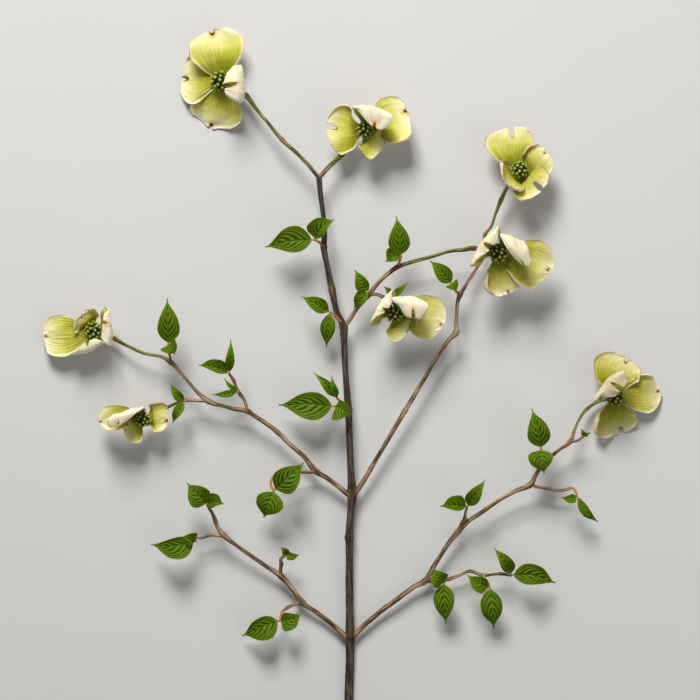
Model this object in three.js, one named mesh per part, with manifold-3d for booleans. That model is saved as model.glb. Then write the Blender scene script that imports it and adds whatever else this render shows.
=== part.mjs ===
// Flowering dogwood branch, cut and laid on a surface.
// One woody branch carries eight blooms, each of four notched bracts round a head of closed flowers,
// and pairs of young leaves on short soft shoots. Millimetres, +Z up, the surface it lies on is z = 0.
import * as THREE from 'three';
import { mergeVertices } from 'three/addons/utils/BufferGeometryUtils.js';
import Module from 'manifold-3d';

const wasm = await Module();
wasm.setup();

// ---- driving dimensions (mm) ----
const STEP = 0.64; // one step of the drawing sheet that the places below are given on
const SHEET_CENTRE = [352.2, 371.3]; // the sheet's x runs right and its y runs down; this place is the origin
const BRACT_THICKNESS = 0.7;
const LEAF_THICKNESS = 0.7;
const SEAT_GAP = 0.3; // clearance between pieces of different tissue where one grows from the other
const RECEPTACLE_RADIUS = 2.6;
const RECEPTACLE_FOOT_RADIUS = 1.5;
const RECEPTACLE_TOP = 0.2; // heights from the bloom's centre
const RECEPTACLE_FOOT = -2.2;
const PEDUNCLE_BEND = -5.0; // the stalk turns up towards the bloom at this height
const PEDUNCLE_END = RECEPTACLE_FOOT - SEAT_GAP;
const PEDUNCLE_RADIUS = 1.05; // of the flower stalk where it meets the bloom
const RECEPTACLE_RIM = 0.9; // height of the receptacle's straight rim
const BRACT_ROOT = { radius: 1.0, height: -0.8 };
const BRACT_HEEL = { radius: 5.5, height: -0.3 };
const HEAD_CORE_RADIUS = 5.0;
const HEAD_SEAT = 0.86; // how far the core reaches down from its middle, as a share of its radius
const HEAD_LEAN = 2.5; // how far the head's middle leans along the bloom's facing
const BUD_LENGTH = 3.8;
const BUD_RADIUS = 1.2;
const BUD_COUNT = 14;
const BUD_SIDES = 4;
const BUD_SEAT = 0.68; // a flower's foot, as a share of the core's radius
const SHOOT_START = 1.0; // straight start of a soft shoot, in line with the twig that it grows from
const SHOOT_RADIUS = 0.85; // the most that a soft shoot has at its start
const LEAF_ROOT = 0.8; // how deep a leaf's stalk is sunk into its shoot
const LEAF_CURL = 13; // degrees that each half of a leaf turns up further towards its edge
const LONG_LEAF = 15; // a leaf of at least this length is split more finely

const SLIVER = 0.02; // edges and triangles thinner than this are closed up after a union
const GOLDEN_ANGLE = Math.PI * (3 - Math.sqrt(5));
const UP = new THREE.Vector3(0, 0, 1);
const radians = THREE.MathUtils.degToRad;

const WOOD_COLOUR = new THREE.MeshStandardMaterial({ color: 0x7d6b58, roughness: 0.8, metalness: 0 });
const BRACT_COLOUR = new THREE.MeshStandardMaterial({ color: 0xe2dca6, roughness: 0.6, metalness: 0 });
const FLOWER_COLOUR = new THREE.MeshStandardMaterial({ color: 0x4a6a1c, roughness: 0.6, metalness: 0 });
const LEAF_COLOUR = new THREE.MeshStandardMaterial({ color: 0x4f8a26, roughness: 0.5, metalness: 0 });

// ---- places on the sheet ----
// Woody routes: each row is [x, y, height in mm, thickness in steps]. The first is the main stem, and each
// other route starts inside the one that it grows from. A route with a bloom ends under that bloom.
const WOOD = {
  main_stem: { sides: 8, rows: [
    [349, 716, 2.66, 9.0], [349, 690, 2.75, 8.8], [350, 660, 3.4, 8.4], [350, 651, 3.6, 8.9],
    [350, 638, 4.0, 9.6],
    [349.7, 620, 4.4, 8.0], [349.3, 583, 5.2, 7.7], [349.3, 545, 6.3, 7.5], [349.3, 538, 6.5, 8.6],
    [349.5, 530, 6.7, 7.6], [351, 510, 7.4, 7.6], [352.2, 494, 8.0, 9.8], [351.2, 478, 8.5, 7.1],
    [350, 456, 9.0, 6.8], [349.3, 430, 9.6, 6.6], [348.4, 411, 10.0, 7.6], [346.4, 385, 11.0, 6.2],
    [344.6, 356, 12.0, 6.2], [344, 340, 12.6, 6.8], [343.5, 327, 13.0, 8.0], [340.5, 319, 13.3, 6.2],
    [337, 312, 13.5, 5.8], [332, 290, 14.0, 6.6], [326.8, 264, 14.6, 5.6], [323.8, 247, 15.0, 6.4],
    [324.8, 230, 15.4, 4.8], [323, 213, 15.6, 4.8], [320, 190, 15.8, 5.2], [319, 177, 16.0, 6.0]] },
  top_left: { bloom: 1, rows: [
    [319, 178, 16.0, 4.4], [311.8, 169, 16.0, 4.2], [299.3, 155.5, 15.6, 3.8], [282.3, 140, 14.6, 4.2],
    [267, 121.6, 12.6, 3.4], [256.4, 109, 10.6, 3.6], [246, 95, 8.0, 5.0], [236, 88, 6.6, 3.6],
    [226, 82.5, 6.3, 3.2]] },
  top_right: { bloom: 2, rows: [
    [319, 178, 16.0, 4.6], [327, 169, 15.6, 4.6], [334, 161.8, 14.6, 4.8], [342, 154.3, 13.0, 5.2],
    [353, 141, 10.6, 3.8], [361, 131.5, 10.0, 3.4]] },
  middle: { bloom: 4, rows: [
    [343.5, 328, 13.0, 4.8], [350, 319, 13.6, 4.6], [357, 308.2, 14.2, 4.2], [367.9, 295.7, 15.0, 5.0],
    [380, 281, 15.8, 4.0], [391.4, 271, 16.4, 4.6], [396.8, 267.3, 17.0, 4.6], [410, 262.6, 17.4, 3.8],
    [430, 257.2, 18.0, 3.6], [450, 251.2, 18.8, 3.6], [462, 250, 19.2, 4.4], [473, 248.5, 19.2, 4.8],
    [484, 250, 18.8, 3.8], [492, 253, 18.6, 3.4]] },
  middle_spur: { bloom: 5, rows: [
    [367.9, 295.7, 15.0, 3.6], [375.7, 294.2, 15.4, 3.4], [384, 298, 15.6, 3.8], [391, 309, 15.4, 3.2]] },
  upper_right: { bloom: 3, rows: [
    [352, 496, 8.0, 5.4], [357, 491, 8.4, 5.2], [362.5, 483, 8.8, 5.0], [380, 453, 10.4, 4.6],
    [405, 411, 12.0, 4.8],
    [423.6, 380, 13.2, 4.2], [441.4, 350, 14.6, 4.2], [450.4, 338.4, 15.4, 4.4], [455.7, 333, 16.0, 5.6],
    [456.2, 324, 16.0, 3.8], [457.5, 303, 16.0, 3.8], [460.2, 294.6, 15.6, 4.8], [466.4, 284, 13.8, 3.4],
    [473.6, 273, 11.4, 3.2], [479.8, 263, 9.8, 3.2], [484, 250, 9.4, 3.2], [485.4, 234, 10.8, 3.4],
    [491.4, 226, 11.4, 3.0], [496, 213, 12.0, 3.0], [501.2, 200, 12.4, 4.4], [507, 187, 12.0, 3.8],
    [514, 175.5, 11.6, 3.2]] },
  upper_left: { bloom: 6, rows: [
    [352, 498, 8.0, 5.4], [347, 494, 8.2, 5.4], [337.5, 486, 8.8, 5.0], [325, 477, 9.4, 5.0],
    [316, 471.6, 10.0, 6.0],
    [303.6, 456.4, 10.8, 4.8], [289.3, 444, 11.4, 4.4], [278.6, 433.2, 12.0, 4.8], [266, 423.4, 12.4, 4.4],
    [253.6, 415.4, 12.8, 4.6], [247.3, 411, 13.0, 5.4], [234, 409, 13.2, 4.2], [221.4, 405.5, 13.4, 4.0],
    [214.3, 403.8, 13.6, 4.6], [208, 401, 13.8, 5.2], [198.2, 393, 14.0, 3.8], [180.4, 372.5, 14.4, 3.6],
    [171, 362.4, 14.4, 4.8], [162.5, 357.3, 14.0, 3.4], [142.9, 352.9, 12.6, 3.2], [123.2, 343.9, 9.6, 3.4],
    [114, 338.8, 7.0, 4.6], [104, 333, 5.2, 3.2], [98, 331, 4.6, 3.2]] },
  left_spur: { bloom: 7, rows: [
    [208, 401, 13.8, 3.4], [196.4, 400.6, 14.2, 3.2], [185.7, 400, 14.4, 3.8], [179.7, 401.7, 14.4, 2.8],
    [171, 405.6, 13.8, 3.0], [162.5, 409.4, 12.4, 4.2], [153, 414.5, 10.0, 3.0], [147, 418, 9.2, 3.0]] },
  left_twig: { rows: [
    [247.3, 411, 13.0, 3.6], [244.5, 400.3, 14.0, 3.2], [240.4, 394.5, 14.8, 3.8], [237, 388.7, 15.4, 3.0],
    [233.7, 380.4, 16.4, 3.4], [230.6, 375.6, 17.0, 3.0]] },
  short_twig: { rows: [
    [316, 471.6, 10.0, 4.0], [308.6, 472.4, 11.0, 3.6], [300.9, 472.4, 12.0, 3.4], [286, 474.3, 13.4, 4.0],
    [277, 475, 14.0, 3.2]] },
  low_left: { rows: [
    [350, 640, 4.0, 6.0], [345, 637, 4.4, 5.8], [333, 626, 5.0, 5.2], [318.6, 615, 5.4, 4.9],
    [308, 608, 5.8, 4.8],
    [301.5, 603, 6.0, 6.2], [293.6, 591.8, 6.6, 4.7], [281, 577, 8.0, 5.8], [265, 566, 9.0, 4.4],
    [247, 553.4, 10.0, 4.2], [234.6, 544.5, 11.0, 4.0], [223, 535, 12.0, 5.4], [218.4, 529, 12.8, 3.8],
    [215.3, 521, 13.8, 4.2], [212, 512.6, 15.0, 3.4], [209.2, 508.2, 16.0, 3.4]] },
  low_left_fork: { rows: [
    [223, 535, 12.0, 3.6], [219, 535.8, 12.0, 3.2], [210, 535, 12.0, 3.4], [203, 537.8, 12.0, 2.8],
    [197.6, 537.8, 12.2, 2.8]] },
  low_left_spur: { rows: [
    [281, 577, 8.0, 4.2], [280.4, 570, 9.4, 3.6], [281.2, 564, 10.8, 4.0], [280.4, 559.6, 12.0, 3.2],
    [284.4, 555.8, 13.0, 3.4]] },
  low_left_shoot: { rows: [
    [301.5, 603, 6.0, 3.8], [295, 604.7, 6.6, 3.2], [288, 608, 7.4, 3.4], [283.8, 611, 8.0, 2.8]] },
  low_right: { bloom: 8, rows: [
    [350, 640, 4.0, 6.4], [354, 636.5, 4.4, 6.0], [361, 629.5, 4.8, 5.4], [377.5, 615, 5.4, 5.2],
    [398.5, 599.3, 6.2, 5.2], [415, 587, 6.8, 5.0], [425, 582, 7.0, 6.0], [434, 567, 7.8, 4.8],
    [450, 542, 9.4, 4.6],
    [458, 532.5, 10.0, 5.6], [468, 522, 10.8, 4.4], [482.5, 512, 11.6, 4.6], [500, 499.8, 12.4, 4.2],
    [514.6, 491.6, 13.0, 4.4], [530.7, 484.5, 13.6, 5.6], [536, 474.6, 14.0, 4.2], [542.4, 465, 14.4, 4.8],
    [548.6, 458.6, 14.8, 3.8], [559.3, 449.6, 15.0, 3.8], [570, 441.6, 14.6, 4.8],
    [575.4, 428.2, 13.0, 2.9],
    [580.7, 417.5, 11.0, 2.8], [588, 408.6, 7.6, 3.6], [598, 402.4, 5.4, 3.2], [610, 398.8, 4.4, 3.2]] },
  low_right_bud: { rows: [
    [570, 441.6, 14.6, 3.4], [577, 440.7, 15.4, 2.8], [581.6, 437.4, 16.4, 2.8]] },
  low_right_side: { rows: [
    [530.7, 484.5, 13.6, 3.8], [538, 486.8, 13.4, 3.2], [548.6, 489, 13.0, 3.4], [561, 490.7, 12.8, 3.2],
    [570.6, 488.4, 13.2, 3.4]] },
  low_right_spur: { rows: [
    [458, 532.5, 10.0, 3.6], [461.4, 524, 12.0, 3.2], [464.9, 518.6, 13.6, 3.8], [465.4, 513, 14.8, 2.8],
    [466.3, 509.4, 15.6, 2.8]] },
  low_right_spray: { rows: [
    [425, 582, 7.0, 3.8], [436, 582, 7.2, 3.2], [449.5, 579.7, 7.6, 3.6], [460, 575.7, 8.4, 3.0],
    [470, 571.7, 9.2, 3.4],
    [483.4, 575.7, 10.2, 3.8], [491.4, 575, 11.0, 2.8], [501, 574, 11.8, 3.2], [508.4, 575.4, 12.4, 2.6]] },
  stub_1: { rows: [[323.8, 247, 15.0, 3.6], [321.2, 244.2, 17.6, 3.0]] },
  stub_2: { rows: [[396.8, 267.3, 17.0, 3.2], [398.2, 264.6, 19.4, 2.8]] },
  stub_3: { rows: [[367.9, 295.7, 15.0, 3.0], [368.1, 293.6, 17.8, 2.6]] },
  stub_4: { rows: [[460.2, 294.6, 15.6, 3.4], [457.4, 292.6, 18.0, 2.8]] },
  stub_5: { rows: [[343.5, 325, 13.0, 3.6], [339.0, 320.0, 15.6, 2.8]] },
  stub_6: { rows: [[348.4, 411, 10.0, 3.6], [343.6, 404.6, 13.0, 2.8]] },
  stub_7: { rows: [[348.4, 412, 10.0, 3.6], [342.8, 410.6, 12.6, 2.8]] },
  stub_8: { rows: [[171, 362.4, 14.4, 3.4], [170.4, 358.0, 16.8, 2.8]] },
  stub_9: { rows: [[185.7, 400, 14.4, 3.0], [185.4, 400.8, 16.6, 2.6]] },
  stub_10: { rows: [[430, 582, 7.0, 3.0], [431, 579, 9.2, 2.8]] },
  stub_11: { rows: [[483.4, 575.7, 10.2, 3.2], [484.6, 578, 12.4, 2.8]] },
  stub_12: { rows: [[239.6, 393.2, 14.8, 2.6], [238.8, 392.4, 16.8, 2.4]] },
  stub_13: { rows: [[543, 464.4, 14.6, 3.2], [542.6, 462.4, 17.0, 2.8]] },
  stub_14: { rows: [[385, 299, 15.6, 3.0], [389.5, 297, 15.8, 2.4]] },
  bare_stub_1: { rows: [[455.7, 333, 16.0, 3.4], [459.4, 331.6, 17.2, 2.4]] },
  bare_stub_2: { rows: [[464.9, 518.6, 13.6, 3.0], [468.4, 519.4, 14.6, 2.4]] },
};

// Blooms: centre [x, y, height], the direction that the flower head faces, and the head's size. A bract has
// its midline [x, y, height over the centre], outwards to the notch; its half widths left and right of that
// line; how far each half turns up at the edge, in degrees; the notch's depth, and the trim that cuts the
// left and the right corner of its tip back, as shares of its length. A bract that folds back over itself also has
// the direction of its crease on the sheet, towards its left.
const BLOOMS = [
  { centre: [221.7, 81.2, 11.3], face: [-0.3, 0.05, 0.95], size: 1, bracts: [
    { line: [[217, 57, 2], [211, 29, 0]],
      half: [17.5, 19.5], curl: [14, 14], notch: 0.09, trim: [0.16, 0.02] },
    { line: [[206, 79, -3], [181, 77, -11]],
      half: [16.5, 16.5], curl: [16, 20], notch: 0.19, trim: [0.02, 0.14] },
    { line: [[217, 101, -3], [210, 125, -11]],
      half: [18, 16.5], curl: [10, -8], notch: 0.1, trim: [0.08, 0.14] },
    { line: [[237, 80, 4], [244.5, 83, 13], [238, 85, 21], [224, 88, 20.5]],
      half: [12.5, 14], curl: [28, 28], notch: 0.2, trim: [0.1, 0] }] },
  { centre: [364.2, 129.2, 15], face: [0.1, -0.22, 0.96], size: 0.85, bracts: [
    { line: [[350, 131, 2], [326, 126, 3]], half: [16.5, 16], curl: [-14, 14], notch: 0.34, trim: [0.5, 0] },
    { line: [[368, 116, 5], [372, 109.5, 12], [373.5, 108, 17], [375.5, 113, 21], [374, 130, 20]],
      crease: [-0.97, -0.25], half: [14, 12.5], curl: [38, 34], notch: 0.06, trim: [0.2, 0] },
    { line: [[372, 136, 1], [386, 143, 1]], half: [9.5, 14.5], curl: [14, 12], notch: 0.12, trim: [0, 0.06] },
    { line: [[384, 120, 2], [407, 110, 0]],
      half: [13.5, 19], curl: [10, 30], notch: 0.08, trim: [0, 0.14] }] },
  { centre: [519.6, 171, 16.5], face: [-0.05, 0.25, 0.95], size: 0.85, bracts: [
    { line: [[515.5, 154, 0], [511.5, 126, -5]],
      half: [18.5, 12.5], curl: [16, 14], notch: 0.28, trim: [0.13, 0.08] },
    { line: [[532, 162, 2], [547, 151, 1]], half: [8.5, 12.5], curl: [-20, 10], notch: 0.12, trim: [0.1, 0] },
    { line: [[529.5, 179, 4], [542, 190, 6]], half: [11.5, 16], curl: [14, 24], notch: 0.4, trim: [0, 0.04] },
    { line: [[511, 177, 3], [506, 181.5, 7], [503.5, 183.5, 12]],
      half: [13, 14], curl: [55, 50], notch: 0.02, trim: [0, 0] }] },
  { centre: [497.1, 254.3, 24], face: [0.1, 0.05, 0.97], size: 0.95, bracts: [
    { line: [[489, 249.5, 5], [482, 244.5, 11], [481, 244, 15], [484, 245.5, 18.5], [491, 249, 19]],
      crease: [-0.55, 0.84], half: [16.5, 15.5], curl: [12, 24], notch: 0.18, trim: [0.18, 0] },
    { line: [[506.6, 243.8, 6], [510.4, 238.6, 13], [512, 239, 18], [516, 251, 22], [522, 267, 19]],
      crease: [-0.96, -0.28], half: [9, 8.5], curl: [12, 34], notch: 0.04, trim: [0.1, 0] },
    { line: [[523, 262, 2], [551, 271, -2]],
      half: [16.5, 16], curl: [14, 12], notch: 0.1, trim: [0.03, 0.24] },
    { line: [[502, 270, 0], [508.5, 293, -4]],
      half: [13, 15.5], curl: [12, 34], notch: 0.08, trim: [0.12, 0] }] },
  { centre: [394.5, 314.4, 20], face: [0.05, 0.1, 0.97], size: 0.85, bracts: [
    { line: [[385, 311, 5], [379.5, 307, 11], [378.5, 306.5, 14.5], [381, 308, 17.5], [387, 311, 17.5]],
      crease: [-0.49, 0.87], half: [13, 15], curl: [10, 20], notch: 0.08, trim: [0.3, 0] },
    { line: [[403.2, 303, 5.5], [408, 297.5, 13], [409, 297, 18], [411.5, 304, 22], [413, 319, 21]],
      crease: [-0.99, -0.15], half: [12, 12], curl: [42, 38], notch: 0.12, trim: [0, 0] },
    { line: [[418, 317, 2], [443, 325.5, 0]], half: [16, 13.5], curl: [14, 12], notch: 0.1, trim: [0, 0.14] },
    { line: [[401, 324, 1], [409, 332.5, 1]],
      half: [12, 12.5], curl: [24, 14], notch: 0.08, trim: [0, 0] }] },
  { centre: [93.6, 330.3, 9.5], face: [0, 0, 1], size: 0.9, bracts: [
    { line: [[70, 334, 1], [41.5, 336, -4]],
      half: [14.5, 13], curl: [26, 12], notch: 0.06, trim: [0.1, 0.06] },
    { line: [[86.5, 321.5, 3], [79, 315.5, 7]], half: [10.5, 10], curl: [12, 16], notch: 0.14, trim: [0, 0] },
    { line: [[103, 329, 3], [111, 326.5, 10], [110.5, 325, 15], [104, 322, 18.5]],
      half: [13, 13], curl: [20, 20], notch: 0.08, trim: [0, 0.1] },
    { line: [[91, 342, 0], [88.5, 350, 3], [88, 351, 7], [88, 348, 10], [88, 341.5, 11]],
      crease: [0.94, -0.35], half: [11.5, 11], curl: [20, 20], notch: 0.08, trim: [0, 0.1] }] },
  { centre: [143.3, 419.8, 14], face: [0, 0.1, 0.97], size: 0.8, bracts: [
    { line: [[121, 417, 3], [99, 422, 1]], half: [8.5, 9], curl: [30, 16], notch: 0.05, trim: [0.14, 0] },
    { line: [[134.9, 411.2, 5], [129, 410.2, 11], [126.5, 410.5, 15], [122.5, 416, 17.5], [118.5, 426, 16]],
      crease: [-0.97, 0.24], half: [11, 11.5], curl: [34, 10], notch: 0.05, trim: [0, 0.1] },
    { line: [[132, 426.5, 1.5], [123.5, 431, 0]],
      half: [11.5, 8], curl: [12, 14], notch: 0.12, trim: [0, 0] },
    { line: [[155, 419, 3], [168, 421, 2]], half: [11.5, 8.5], curl: [24, 24], notch: 0.1, trim: [0, 0] }] },
  { centre: [615.7, 397.3, 9.3], face: [-0.05, -0.05, 0.97], size: 0.9, bracts: [
    { line: [[619, 379, 0], [628.5, 358.5, -3]],
      half: [19, 13], curl: [14, 12], notch: 0.14, trim: [0.03, 0.08] },
    { line: [[607.5, 390, 6], [603.5, 384.5, 12], [604, 382.5, 17], [609.5, 382.5, 20.5], [621, 389.5, 19.5]],
      crease: [-0.68, 0.73], half: [14, 12.5], curl: [34, 30], notch: 0.22, trim: [0, 0] },
    { line: [[638, 394.5, -2], [661, 391, -8]],
      half: [12, 13], curl: [14, 12], notch: 0.08, trim: [0.14, 0] },
    { line: [[618, 414, -2], [623.5, 432.5, -8.9]],
      half: [12, 18], curl: [10, 16], notch: 0.18, trim: [0, 0] }] },
];

// Soft shoots with their leaves: the twig that the shoot grows from, its further route as in WOOD, and for
// each leaf a point half way along its midrib, its tip, its half widths left and right of the midrib, and
// how many degrees each half stands up at the midrib.
const SHOOTS = [
  { on: 'stub_1', route: [[318.4, 241.8, 19.6, 2.8], [313.4, 239.5, 20.6, 2.6]], leaves: [
    { line: [[290, 242, 22], [265.3, 247.1, 16]], half: [7.4, 10], fold: 12 },
    { line: [[322, 228.5, 24.5], [334, 219.8, 22]], half: [9, 4], fold: 16 }] },
  { on: 'stub_2', route: [[400, 260, 21.8, 2.6], [401.3, 255.6, 23.2, 2.4]], leaves: [
    { line: [[399.5, 236, 28], [396.1, 217.1, 26]], half: [8, 6.4], fold: 14 },
    { line: [[393, 257, 24.5], [385.4, 262.3, 20]], half: [3.6, 6.4], fold: 14 }] },
  { on: 'stub_3', route: [[368.8, 291.2, 21, 2.2]], leaves: [
    { line: [[362, 280, 24], [354.5, 269.9, 22]], half: [6.8, 3], fold: 14 },
    { line: [[361, 300.5, 21.5], [353.8, 308.5, 17]], half: [3, 5.6], fold: 14 }] },
  { on: 'stub_4', route: [[453.8, 288, 20.4, 2.4], [451, 283, 21.4, 2.4]], leaves: [
    { line: [[440, 270.6, 25], [429.6, 260.6, 21]], half: [5.4, 5.4], fold: 14 },
    { line: [[453.5, 286.8, 24.6], [456.2, 291.6, 25]], half: [4.8, 4.8], fold: 22 }] },
  { on: 'stub_5', route: [[333.6, 314.6, 18, 2.4], [329, 311.4, 19, 2.2]], leaves: [
    { line: [[315, 304, 22], [301.4, 296.4, 18]], half: [4.6, 5.6], fold: 14 },
    { line: [[328, 329, 18.6], [326.4, 347.1, 12]], half: [4.8, 5.2], fold: 10 }] },
  { on: 'stub_6', route: [[339.6, 400.4, 16, 2.2], [336.2, 397.4, 17.4, 2.0]], leaves: [
    { line: [[326, 384, 22], [313.5, 372.3, 18]], half: [3.4, 3.4], fold: 18 },
    { line: [[333.4, 387, 22.5], [331.6, 375.2, 22]], half: [2.6, 2.6], fold: 18 }] },
  { on: 'stub_7', route: [[337.6, 408, 15, 2.4], [334, 405.6, 16.4, 2.4]], leaves: [
    { line: [[306, 404.4, 19], [278.6, 405, 12]], half: [10.4, 8.4], fold: 12 },
    { line: [[342, 409.2, 20.5], [351.9, 414.7, 19.5]], half: [5.6, 9], fold: 14 }] },
  { on: 'stub_8', route: [[169.4, 350, 20, 2.6], [168.8, 343.6, 21.6, 2.4]], leaves: [
    { line: [[168.4, 321, 27], [167.8, 298.7, 24]], half: [6.8, 8.4], fold: 14 },
    { line: [[172.4, 348.8, 25.4], [175.7, 354.3, 25]], half: [6.8, 6.8], fold: 26 }] },
  { on: 'stub_9', route: [[184.4, 401.8, 19.4, 2.2]], leaves: [
    { line: [[176.6, 392.4, 23], [170.7, 382.9, 20]], half: [3.6, 2.8], fold: 16 },
    { line: [[178, 412.6, 22], [172.4, 423.2, 17]], half: [2.8, 3.8], fold: 16 }] },
  { on: 'left_twig', route: [[229, 372.6, 19.8, 2.2]], leaves: [
    { line: [[214, 367, 23.5], [198.5, 365, 19]], half: [3.2, 6.2], fold: 14 },
    { line: [[231.4, 356, 26], [231.1, 338.9, 25]], half: [3.4, 2.8], fold: 18 }] },
  { on: 'stub_12', route: [[237.6, 391.4, 19, 2.0]], leaves: [
    { line: [[230, 385.4, 21.5], [224.2, 377.9, 20]], half: [1.6, 1.6], fold: 14 },
    { line: [[225, 394.2, 21], [211.8, 394.6, 18]], half: [2.2, 2.4], fold: 14 }] },
  { on: 'short_twig', route: [
    [271.6, 479, 15.6, 2.6], [271.2, 486, 17.4, 2.6], [274.8, 491.2, 19.0, 2.4]], leaves: [
    { line: [[288.4, 477, 24], [304, 462.5, 20]], half: [8.2, 9.4], fold: 14 },
    { line: [[268.8, 504, 19.5], [263.7, 517.6, 14]], half: [9.6, 9], fold: 12 }] },
  { on: 'low_left', route: [[207, 503.4, 19.2, 2.4]], leaves: [
    { line: [[197.4, 494, 23], [187.5, 483, 20]], half: [7.8, 7.8], fold: 14 },
    { line: [[215.4, 501.6, 23.5], [224.2, 503.7, 22]], half: [7.2, 3.6], fold: 14 }] },
  { on: 'low_left_fork', route: [[194.2, 539.2, 13.6, 2.4], [196, 541.2, 15.6, 2.4]], leaves: [
    { line: [[175, 545.6, 18.5], [150.8, 544.8, 13]], half: [9.2, 5.8], fold: 12 },
    { line: [[190, 538.6, 21], [181, 536.4, 22]], half: [2.6, 5.4], fold: 14 }] },
  { on: 'low_left_spur', route: [[286.8, 554, 15.4, 2.0]], leaves: [
    { line: [[284, 550, 18.5], [280.5, 546.4, 18.5]], half: [2.4, 3], fold: 16 },
    { line: [[292, 556, 18], [299.5, 554.6, 16.5]], half: [2.6, 3], fold: 16 }] },
  { on: 'low_left_shoot', route: [[280.6, 616.6, 10.6, 2.4], [279.6, 621.6, 12.4, 2.4]], leaves: [
    { line: [[261, 627.4, 14.5], [241.6, 636.6, 7]], half: [9.4, 6.6], fold: 12 },
    { line: [[290, 619.6, 16.5], [301.4, 614.2, 14]], half: [5.4, 7.4], fold: 14 }] },
  { on: 'low_right_spur', route: [[467, 506, 18.6, 2.2]], leaves: [
    { line: [[453, 505, 22.5], [439.9, 506.2, 18]], half: [3.4, 7], fold: 14 },
    { line: [[476, 492.6, 25], [485.1, 479.4, 22]], half: [5.2, 4.4], fold: 16 }] },
  { on: 'stub_13', route: [[541.6, 455, 20.2, 2.6], [540.6, 447.4, 22.4, 2.4]], leaves: [
    { line: [[536.6, 428, 27.5], [531.2, 408.7, 24]], half: [7.6, 7.6], fold: 14 },
    { line: [[541.2, 460, 26], [543.6, 473, 23]], half: [7.4, 9], fold: 12 }] },
  { on: 'low_right_side', route: [[575.6, 491.6, 14.6, 2.2], [577.4, 497, 15.8, 2.0]], leaves: [
    { line: [[569, 498, 18.5], [561, 497, 16.5]], half: [3.8, 2.4], fold: 16 },
    { line: [[586.4, 511, 16.6], [598.7, 522.7, 10]], half: [2.6, 3.8], fold: 14 }] },
  { on: 'stub_10', route: [
    [436, 575.6, 11.8, 2.4], [442, 577, 13.2, 2.4], [444.4, 583.4, 14, 2.2]], leaves: [
    { line: [[438.6, 577.4, 18.4], [433.8, 568.1, 16.5]], half: [6.4, 6], fold: 14 },
    { line: [[444.8, 604, 15], [446.2, 623.9, 9]], half: [6.6, 7.6], fold: 12 }] },
  { on: 'stub_11', route: [[488, 582.6, 14, 2.4], [489.8, 588.4, 14.8, 2.4]], leaves: [
    { line: [[478.4, 582.6, 18.4], [467.3, 575.3, 15]], half: [6.2, 5], fold: 14 },
    { line: [[492.4, 608, 15.6], [494.3, 629.3, 8]], half: [7, 8.2], fold: 12 }] },
  { on: 'low_right_spray', route: [[511.8, 574.8, 14.6, 2.2]], leaves: [
    { line: [[503.4, 560.6, 20.5], [493.7, 547.6, 18]], half: [3.6, 5.6], fold: 16 },
    { line: [[534, 575.4, 17.5], [556.2, 583.6, 10]], half: [7.8, 6.4], fold: 12 }] },
  { on: 'low_right_bud', route: [[584, 435, 18, 2.0]], leaves: [
    { line: [[582.4, 431.6, 20], [580.4, 428.4, 20]], half: [1.6, 1.6], fold: 18 },
    { line: [[587.4, 433.6, 20], [590.4, 432.6, 19.5]], half: [1.6, 1.6], fold: 18 }] },
  { on: 'stub_14', route: [[393.2, 295.6, 16, 2.0]], leaves: [
    { line: [[388.5, 290.5, 18], [383.5, 286.5, 18.5]], half: [2.2, 2.2], fold: 16 },
    { line: [[400.5, 289.5, 19], [407.5, 283, 19.5]], half: [2.4, 2.4], fold: 16 }] },
];

function place([x, y, height]) {
  return new THREE.Vector3((x - SHEET_CENTRE[0]) * STEP, (SHEET_CENTRE[1] - y) * STEP, height);
}

function curveThrough(points) {
  return new THREE.CatmullRomCurve3(points, false, 'centripetal');
}

// ---- making solids ----

// A closed geometry from points and triangles, turned so that its faces point out.
function closedGeometry(points, triangles) {
  let volume = 0;
  const normal = new THREE.Vector3();
  for (const [a, b, c] of triangles) {
    volume += normal.crossVectors(points[b], points[c]).dot(points[a]);
  }
  const outward = volume < 0 ? triangles.map(([a, b, c]) => [a, c, b]) : triangles;
  const geometry = new THREE.BufferGeometry().setFromPoints(points);
  geometry.setIndex(outward.flat());
  return geometry;
}

function toManifold(geometry) {
  const bare = geometry.clone();
  bare.deleteAttribute('normal');
  bare.deleteAttribute('uv');
  const merged = mergeVertices(bare);
  const mesh = new wasm.Mesh({
    numProp: 3,
    vertProperties: new Float32Array(merged.attributes.position.array),
    triVerts: new Uint32Array(merged.index.array),
  });
  return new wasm.Manifold(mesh);
}

// One body from several, without the slivers that the union leaves where two surfaces graze each other.
function join(geometries) {
  const union = geometries.map(toManifold).reduce((sum, next) => sum.add(next));
  const solid = union.simplify(SLIVER);
  const mesh = solid.getMesh();
  const joined = new THREE.BufferGeometry();
  joined.setAttribute('position', new THREE.BufferAttribute(new Float32Array(mesh.vertProperties), 3));
  joined.setIndex(new THREE.BufferAttribute(new Uint32Array(mesh.triVerts), 1));
  return joined;
}

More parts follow.
